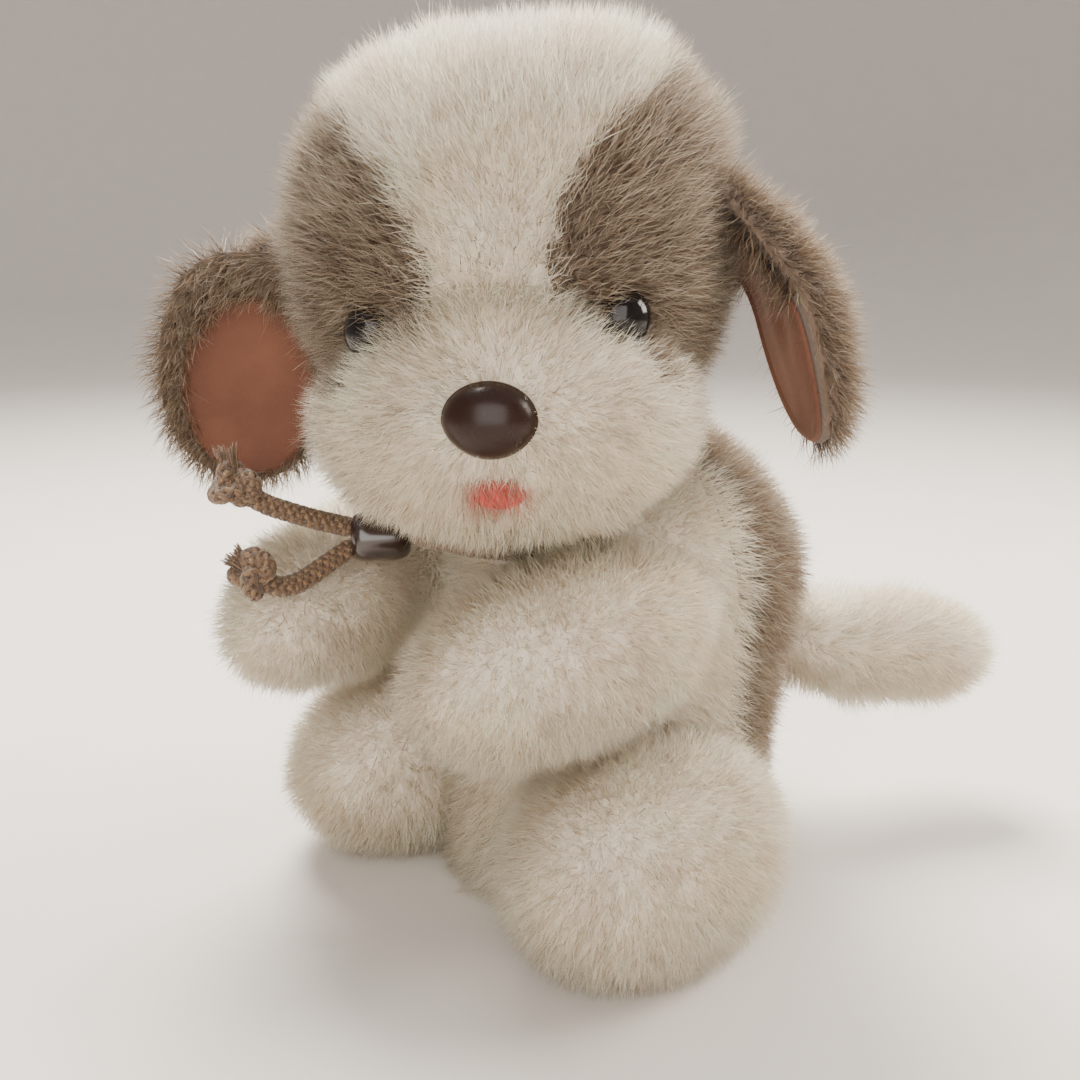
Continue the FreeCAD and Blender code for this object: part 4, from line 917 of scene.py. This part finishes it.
def lining(name):
    """A velour sheet on an ear's inner face, with a turned edge inside the fur rim."""
    rings, columns = 22, 72
    left = name == "left_ear"
    place, _, _, _, shift, share, _ = EARS[name]
    turn = ear_turn(name)
    flat = [(0.0, 0.0)]
    for ring in range(1, rings + 1):
        reach = share * ring / rings
        flat += [(reach * across, reach * down) for across, down in circle(columns)]
    flat = np.array(flat)
    edge = np.hypot(flat[:, 0], flat[:, 1]) / share
    flat = flat + np.array(shift)
    depth = -np.sqrt(np.maximum(0, 1 - flat[:, 0] ** 2 - flat[:, 1] ** 2))
    if left:
        ball = np.stack([depth, flat[:, 0], flat[:, 1]], 1)
    else:
        ball = np.stack([flat[:, 0], depth, flat[:, 1]], 1)
    points = head_place(*place) + EAR_SHAPES[name](ball) @ turn.T
    hem = np.exp(-((edge - 0.93) / 0.05) ** 2)
    lift = 0.7 + 0.5 * waves(points, 16, 51) * (1 - edge) + 0.9 * hem
    points = points + lining_side(name) * lift[:, None]
    faces = disc_faces(rings, columns)
    facing = normals_of(points, faces)
    if np.mean(facing @ lining_side(name)) < 0:
        faces = [face[::-1] for face in faces]
    piece = new_piece(name + "_velour", points, faces, name, SURFACES["velour"])
    thicken = piece.modifiers.new("Cloth", "SOLIDIFY")
    thicken.thickness = VELOUR_THICK * MM
    apply_modifiers(piece)
    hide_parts(name + "_lining")


# ---- face
def seated(local, point, heading):
    """A moulded part's points set at a place on the head, its Z along a heading there."""
    aim = Vector(HEAD_TURN @ np.array(heading, float)).to_track_quat("Z", "Y").to_matrix().to_4x4()
    place = np.array(Matrix.Translation(Vector(head_place(*point))) @ aim)
    return local @ place[:3, :3].T + place[:3, 3]


def nose_piece():
    """A moulded button nose: an oval dome, a little narrower below, with a rim at its base."""
    ball, faces = sphere(64, 96)
    local = ball * np.array([9.8, 7.9, 6.5])
    low = ramp(-ball[:, 1], 0.0, 1.0)
    local[:, 0] *= 1 - 0.07 * low
    rim = np.exp(-((ball[:, 2] - 0.12) / 0.06) ** 2)
    local *= (1 + 0.02 * rim)[:, None]
    dark = hard_material("nose_brown", (0.016, 0.006, 0.004), 0.27, Specular_IOR_Level=0.24)
    points = seated(local, NOSE, (0, -1, 0.05))
    piece = new_piece("moulded_nose", points, faces, "head", dark)
    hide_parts("nose")


def eye_pieces():
    """Polished black domes with a thin moulded rim."""
    black = hard_material("eye_black", (0.004, 0.003, 0.003), 0.10, Specular_IOR_Level=0.3)
    for label, point in zip(("right", "left"), EYES):
        ball, faces = sphere(48, 72)
        local = ball * np.array([6.0, 6.0, 4.8])
        rim = np.exp(-((ball[:, 2] - 0.05) / 0.08) ** 2)
        local[:, :2] *= (1 + 0.05 * rim)[:, None]
        side = math.copysign(1, point[0])
        points = seated(local, point, (0.42 * side, -0.9, -0.05))
        piece = new_piece(label + "_eye_dome", points, faces, "head", black)
        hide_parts(label + "_eye")


def mouth_piece():
    """The felt tongue under the nose, mostly covered by red pile."""
    ball, faces = sphere(32, 48)
    local = ball * np.array([6.5, 1.6, 4.0])
    points = on_head(local + np.array([0, -52.8, 13.5]))
    felt = mottled("red_felt", (0.50, 0.05, 0.04), (0.66, 0.12, 0.09), 0.95, 1500, 0.8, 0.0004,
                   Sheen_Weight=0.4)
    piece = new_piece("mouth_tongue", points, faces, "head", felt)
    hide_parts("mouth_felt")


# ---- cord
def smooth_line(points, name):
    """Points along the NURBS spline that a cord's route controls, in metres."""
    curve = bpy.data.curves.new(name, "CURVE")
    curve.dimensions = "3D"
    curve.resolution_u = 24
    spline = curve.splines.new("NURBS")
    spline.points.add(len(points) - 1)
    for control, place in zip(spline.points, points):
        control.co = (*place, 1)
    spline.order_u = 3
    spline.use_endpoint_u = True
    holder = bpy.data.objects.new(name, curve)
    mesh = bpy.data.meshes.new_from_object(holder)
    line = [vertex.co.copy() for vertex in mesh.vertices]
    bpy.data.objects.remove(holder)
    bpy.data.meshes.remove(mesh)
    return np.array(line)


def run_along(line):
    """The length of a line up to each of its points."""
    return np.concatenate([[0], np.cumsum(np.linalg.norm(np.diff(line, axis=0), axis=1))])


def evenly(line, step):
    """A line's points again, a step apart."""
    run = run_along(line)
    at = np.linspace(0, run[-1], max(3, int(run[-1] / step) + 1))
    return np.stack([np.interp(at, run, line[:, k]) for k in range(3)], 1)


def frames_along(line):
    """Two unit vectors across a line at each of its points, carried without twist."""
    heading = unit(np.gradient(line, axis=0))
    side = unit(np.cross(heading[0], (0.3, 0.2, 1.0)))
    sides = []
    for ahead in heading:
        side = unit(side - ahead * (side @ ahead))
        sides.append(side)
    sides = np.array(sides)
    return sides, np.cross(heading, sides)


def tubes(name, lines, radii, colours, corners=8):
    """Round yarns as one piece of cord, each closed at its ends and of its own colour."""
    points, faces, tints = [], [], []
    for line, radius, colour in zip(lines, radii, colours):
        sides, ups = frames_along(line)
        taper = np.broadcast_to(np.asarray(radius, float), (len(line),))
        base = len(points)
        for place, side, up, thick in zip(line, sides, ups, taper):
            for across, upward in circle(corners):
                points.append(place + thick * (across * side + upward * up))
                tints.append(colour)
        faces += bands(base, len(line) - 1, corners, flipped=True)
        faces.append(tuple(base + corner for corner in range(corners))[::-1])
        end = base + (len(line) - 1) * corners
        faces.append(tuple(end + corner for corner in range(corners)))
    piece = new_piece(name, np.array(points) / MM, faces, "torso", SURFACES["braid"])
    colour_points(piece.data, tints)
    return piece


LOOSE_YARNS = 90
# the cord's yarn colours
YARNS = [(0.075, 0.038, 0.018), (0.11, 0.060, 0.029), (0.055, 0.028, 0.014), (0.15, 0.086, 0.040)]


def braid(line, radius, pitch=9.0):
    """Eight strands woven round a line, four each way, over and under each other; metres."""
    line = evenly(line, 0.0005)
    sides, ups = frames_along(line)
    run = run_along(line)
    lines, radii, colours = [], [], []
    for strand in range(8):
        way = 1 if strand % 2 else -1
        angle = way * 2 * math.pi * run / (pitch * MM) + strand // 2 * math.pi / 2
        weave = np.sin(2 * angle * way + (math.pi if way > 0 else 0))
        reach = radius * (0.64 + 0.12 * weave)
        lines.append(line + (np.cos(angle) * reach)[:, None] * sides
                     + (np.sin(angle) * reach)[:, None] * ups)
        radii.append(radius * 0.33)
        colours.append(YARNS[strand % len(YARNS)])
    lines.append(line)
    radii.append(radius * 0.55)
    colours.append(YARNS[2])
    return lines, radii, colours


def knot_line(centre, tilt, size):
    """A closed overhand knot round a centre, as points in metres."""
    steps = np.linspace(0, 2 * math.pi, 150)
    loop = np.stack([np.sin(steps) + 2 * np.sin(2 * steps), np.cos(steps) - 2 * np.cos(2 * steps),
                     -1.3 * np.sin(3 * steps)], 1) / 3.0
    return np.array(centre) * MM + (loop * size * MM) @ tilt.T


def frayed_end(name, start, tip):
    """Loose yarns that stand out of a knot and spread."""
    rng = np.random.default_rng(61)
    tip = np.array(tip, float)
    heading = unit(tip - start)
    lines, radii, colours = [], [], []
    for strand in range(LOOSE_YARNS):
        spread = rng.normal(size=3)
        spread -= heading * (spread @ heading)
        spread = unit(spread) * math.sqrt(rng.random())
        length = np.linalg.norm(tip - start) * rng.uniform(0.75, 1.0)
        share = np.linspace(0, 1, 6)[:, None]
        bend = rng.normal(size=3) * 0.35
        line = start + spread * 1.7 + heading * length * share
        line = line + spread * 1.5 * share ** 2 + bend * share ** 2
        lines.append(line * MM)
        radii.append(np.linspace(0.26, 0.10, 6) * MM)
        colours.append(np.array(YARNS[strand % len(YARNS)]) * rng.uniform(0.8, 1.6))
    return tubes(name, lines, radii, colours, 4)


def cords():
    """The two free ends with their knots, the loop round the neck and the slide on it."""
    for label, route, length, tip, first, second in CORD_ENDS:
        line = smooth_line(route, label + "_route")
        end = tubes(label + "_braid", *braid(line, CORD_RADIUS * MM))
        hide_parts(label + "_cord_end")
        middle = np.array(route[-1]) / MM
        loop = knot_line(middle, turned(*first) @ turned(*second), KNOT_SIZE)
        knot = tubes(label + "_knot_braid", *braid(loop, KNOT_RADIUS * MM, KNOT_PITCH))
        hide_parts(label + "_knot")
        tuft = frayed_end(label + "_frayed_yarns", middle, tip)
    out = unit(np.array([SLIDE[0] - NECK[0], SLIDE[1] - NECK[1], 0.0]))
    face = np.array([SLIDE[0], SLIDE[1], COLLAR_HIGH]) - out * SLIDE_LENGTH / 2
    start = math.atan2(out[1], out[0])
    ring = []
    for angle in np.linspace(start + COLLAR_GAP, start + 2 * math.pi - COLLAR_GAP, 90):
        ring.append((NECK[0] + COLLAR_RADIUS * math.cos(angle),
                     NECK[1] + COLLAR_RADIUS * math.sin(angle), COLLAR_HIGH))
    across = np.array([-out[1], out[0], 0])
    line = np.array([face + across * RUN_APART, *ring, face - across * RUN_APART]) * MM
    collar = tubes("collar_braid", *braid(evenly(line, 0.001), CORD_RADIUS * MM))
    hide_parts("collar_cord")
    slide_piece(out)


def slide_piece(out):
    """The dark barrel bead that draws the cord in, with rounded ends and a slight waist."""
    profile = [(-7.5, 2.6), (-7.45, 3.8), (-7.1, 4.9), (-6.3, 5.7), (-5.0, 6.2), (-3.0, 6.45),
               (0.0, 6.3), (3.0, 6.45), (5.0, 6.2), (6.3, 5.7), (7.1, 4.9), (7.45, 3.8), (7.5, 2.6)]
    columns = 48
    aim = np.array(Vector(out).to_track_quat("Z", "Y").to_matrix())
    points = []
    for height, radius in profile:
        points += [(radius * across, radius * up, height) for across, up in circle(columns)]
    faces = bands(0, len(profile) - 1, columns, flipped=True)
    faces.append(tuple(range(columns))[::-1])
    faces.append(tuple((len(profile) - 1) * columns + column for column in range(columns)))
    dark = hard_material("slide_dark", (0.020, 0.010, 0.008), 0.22, Coat_Weight=0.6)
    piece = new_piece("cord_slide_bead", np.array(points) @ aim.T + np.array(SLIDE), faces, "torso",
                      dark)
    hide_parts("cord_slide")


# ---- hard parts inside
def finish_hardware():
    """Give every carried-over node a material for what it is made of."""
    finishes = {
        "case_plastic": hard_material("case_grey", (0.68, 0.68, 0.66), 0.5),
        "gear_plastic": hard_material("acetal", (0.82, 0.78, 0.66), 0.38),
        "steel": hard_material("steel", (0.60, 0.60, 0.61), 0.32, Metallic=1),
        "motor_can": hard_material("motor_plating", (0.46, 0.46, 0.48), 0.28, Metallic=1),
        "cell_wrap": hard_material("cell_sleeve", (0.09, 0.12, 0.16), 0.3, Coat_Weight=0.3),
        "board": mottled("solder_mask", (0.02, 0.12, 0.06), (0.03, 0.17, 0.08), 0.4, 900),
        "speaker_black": mottled("paper_cone", (0.02, 0.02, 0.022), (0.04, 0.04, 0.042), 0.8, 1400),
        "button_plastic": hard_material("button_grey", (0.06, 0.06, 0.07), 0.4),
        "washer_plastic": hard_material("washer", (0.80, 0.80, 0.78), 0.45),
        "stuffing": mottled("fibre_fill", (0.86, 0.86, 0.83), (0.74, 0.74, 0.72), 0.95, 500, 1.0,
                            0.001, Sheen_Weight=0.3),
    }
    for entry in frame["record"]["subparts"]:
        chosen = finishes.get(entry["material_slot"])
        if chosen:
            mesh = NODES[entry["node"]].data
            mesh.materials.clear()
            mesh.materials.append(chosen)


def floor():
    """A plain pale floor that curves up into a wall all round, well outside the lights."""
    profile = [(FLAT_REACH * step / 4, 0.0) for step in range(1, 5)]
    for step in range(1, 13):
        angle = math.pi / 2 * step / 12
        profile.append((FLAT_REACH + WALL_CURVE * math.sin(angle),
                        WALL_CURVE - WALL_CURVE * math.cos(angle)))
    profile.append((FLAT_REACH + WALL_CURVE, WALL_TOP))
    columns = 96
    points = [(0, 0, 0)]
    for reach, height in profile:
        points += [(reach * across, reach * along, height) for across, along in circle(columns)]
    faces = disc_faces(len(profile), columns)
    mesh = bpy.data.meshes.new("floor")
    mesh.from_pydata(points, [], faces)
    mesh.shade_smooth()
    mesh.materials.append(mottled("pale_floor", (0.66, 0.62, 0.58), (0.62, 0.58, 0.54), 0.9, 30,
                                  bump=0.0))
    ground = bpy.data.objects.new("floor", mesh)
    bpy.context.scene.collection.objects.link(ground)


# ---- build
camera()
lights()
floor()
SURFACES["pile"] = pile_material()
SURFACES["velour"] = velour_material()
SURFACES["braid"] = braid_material()
cords()
plush(forms())
lining("left_ear")
lining("right_ear")
nose_piece()
eye_pieces()
mouth_piece()
finish_hardware()
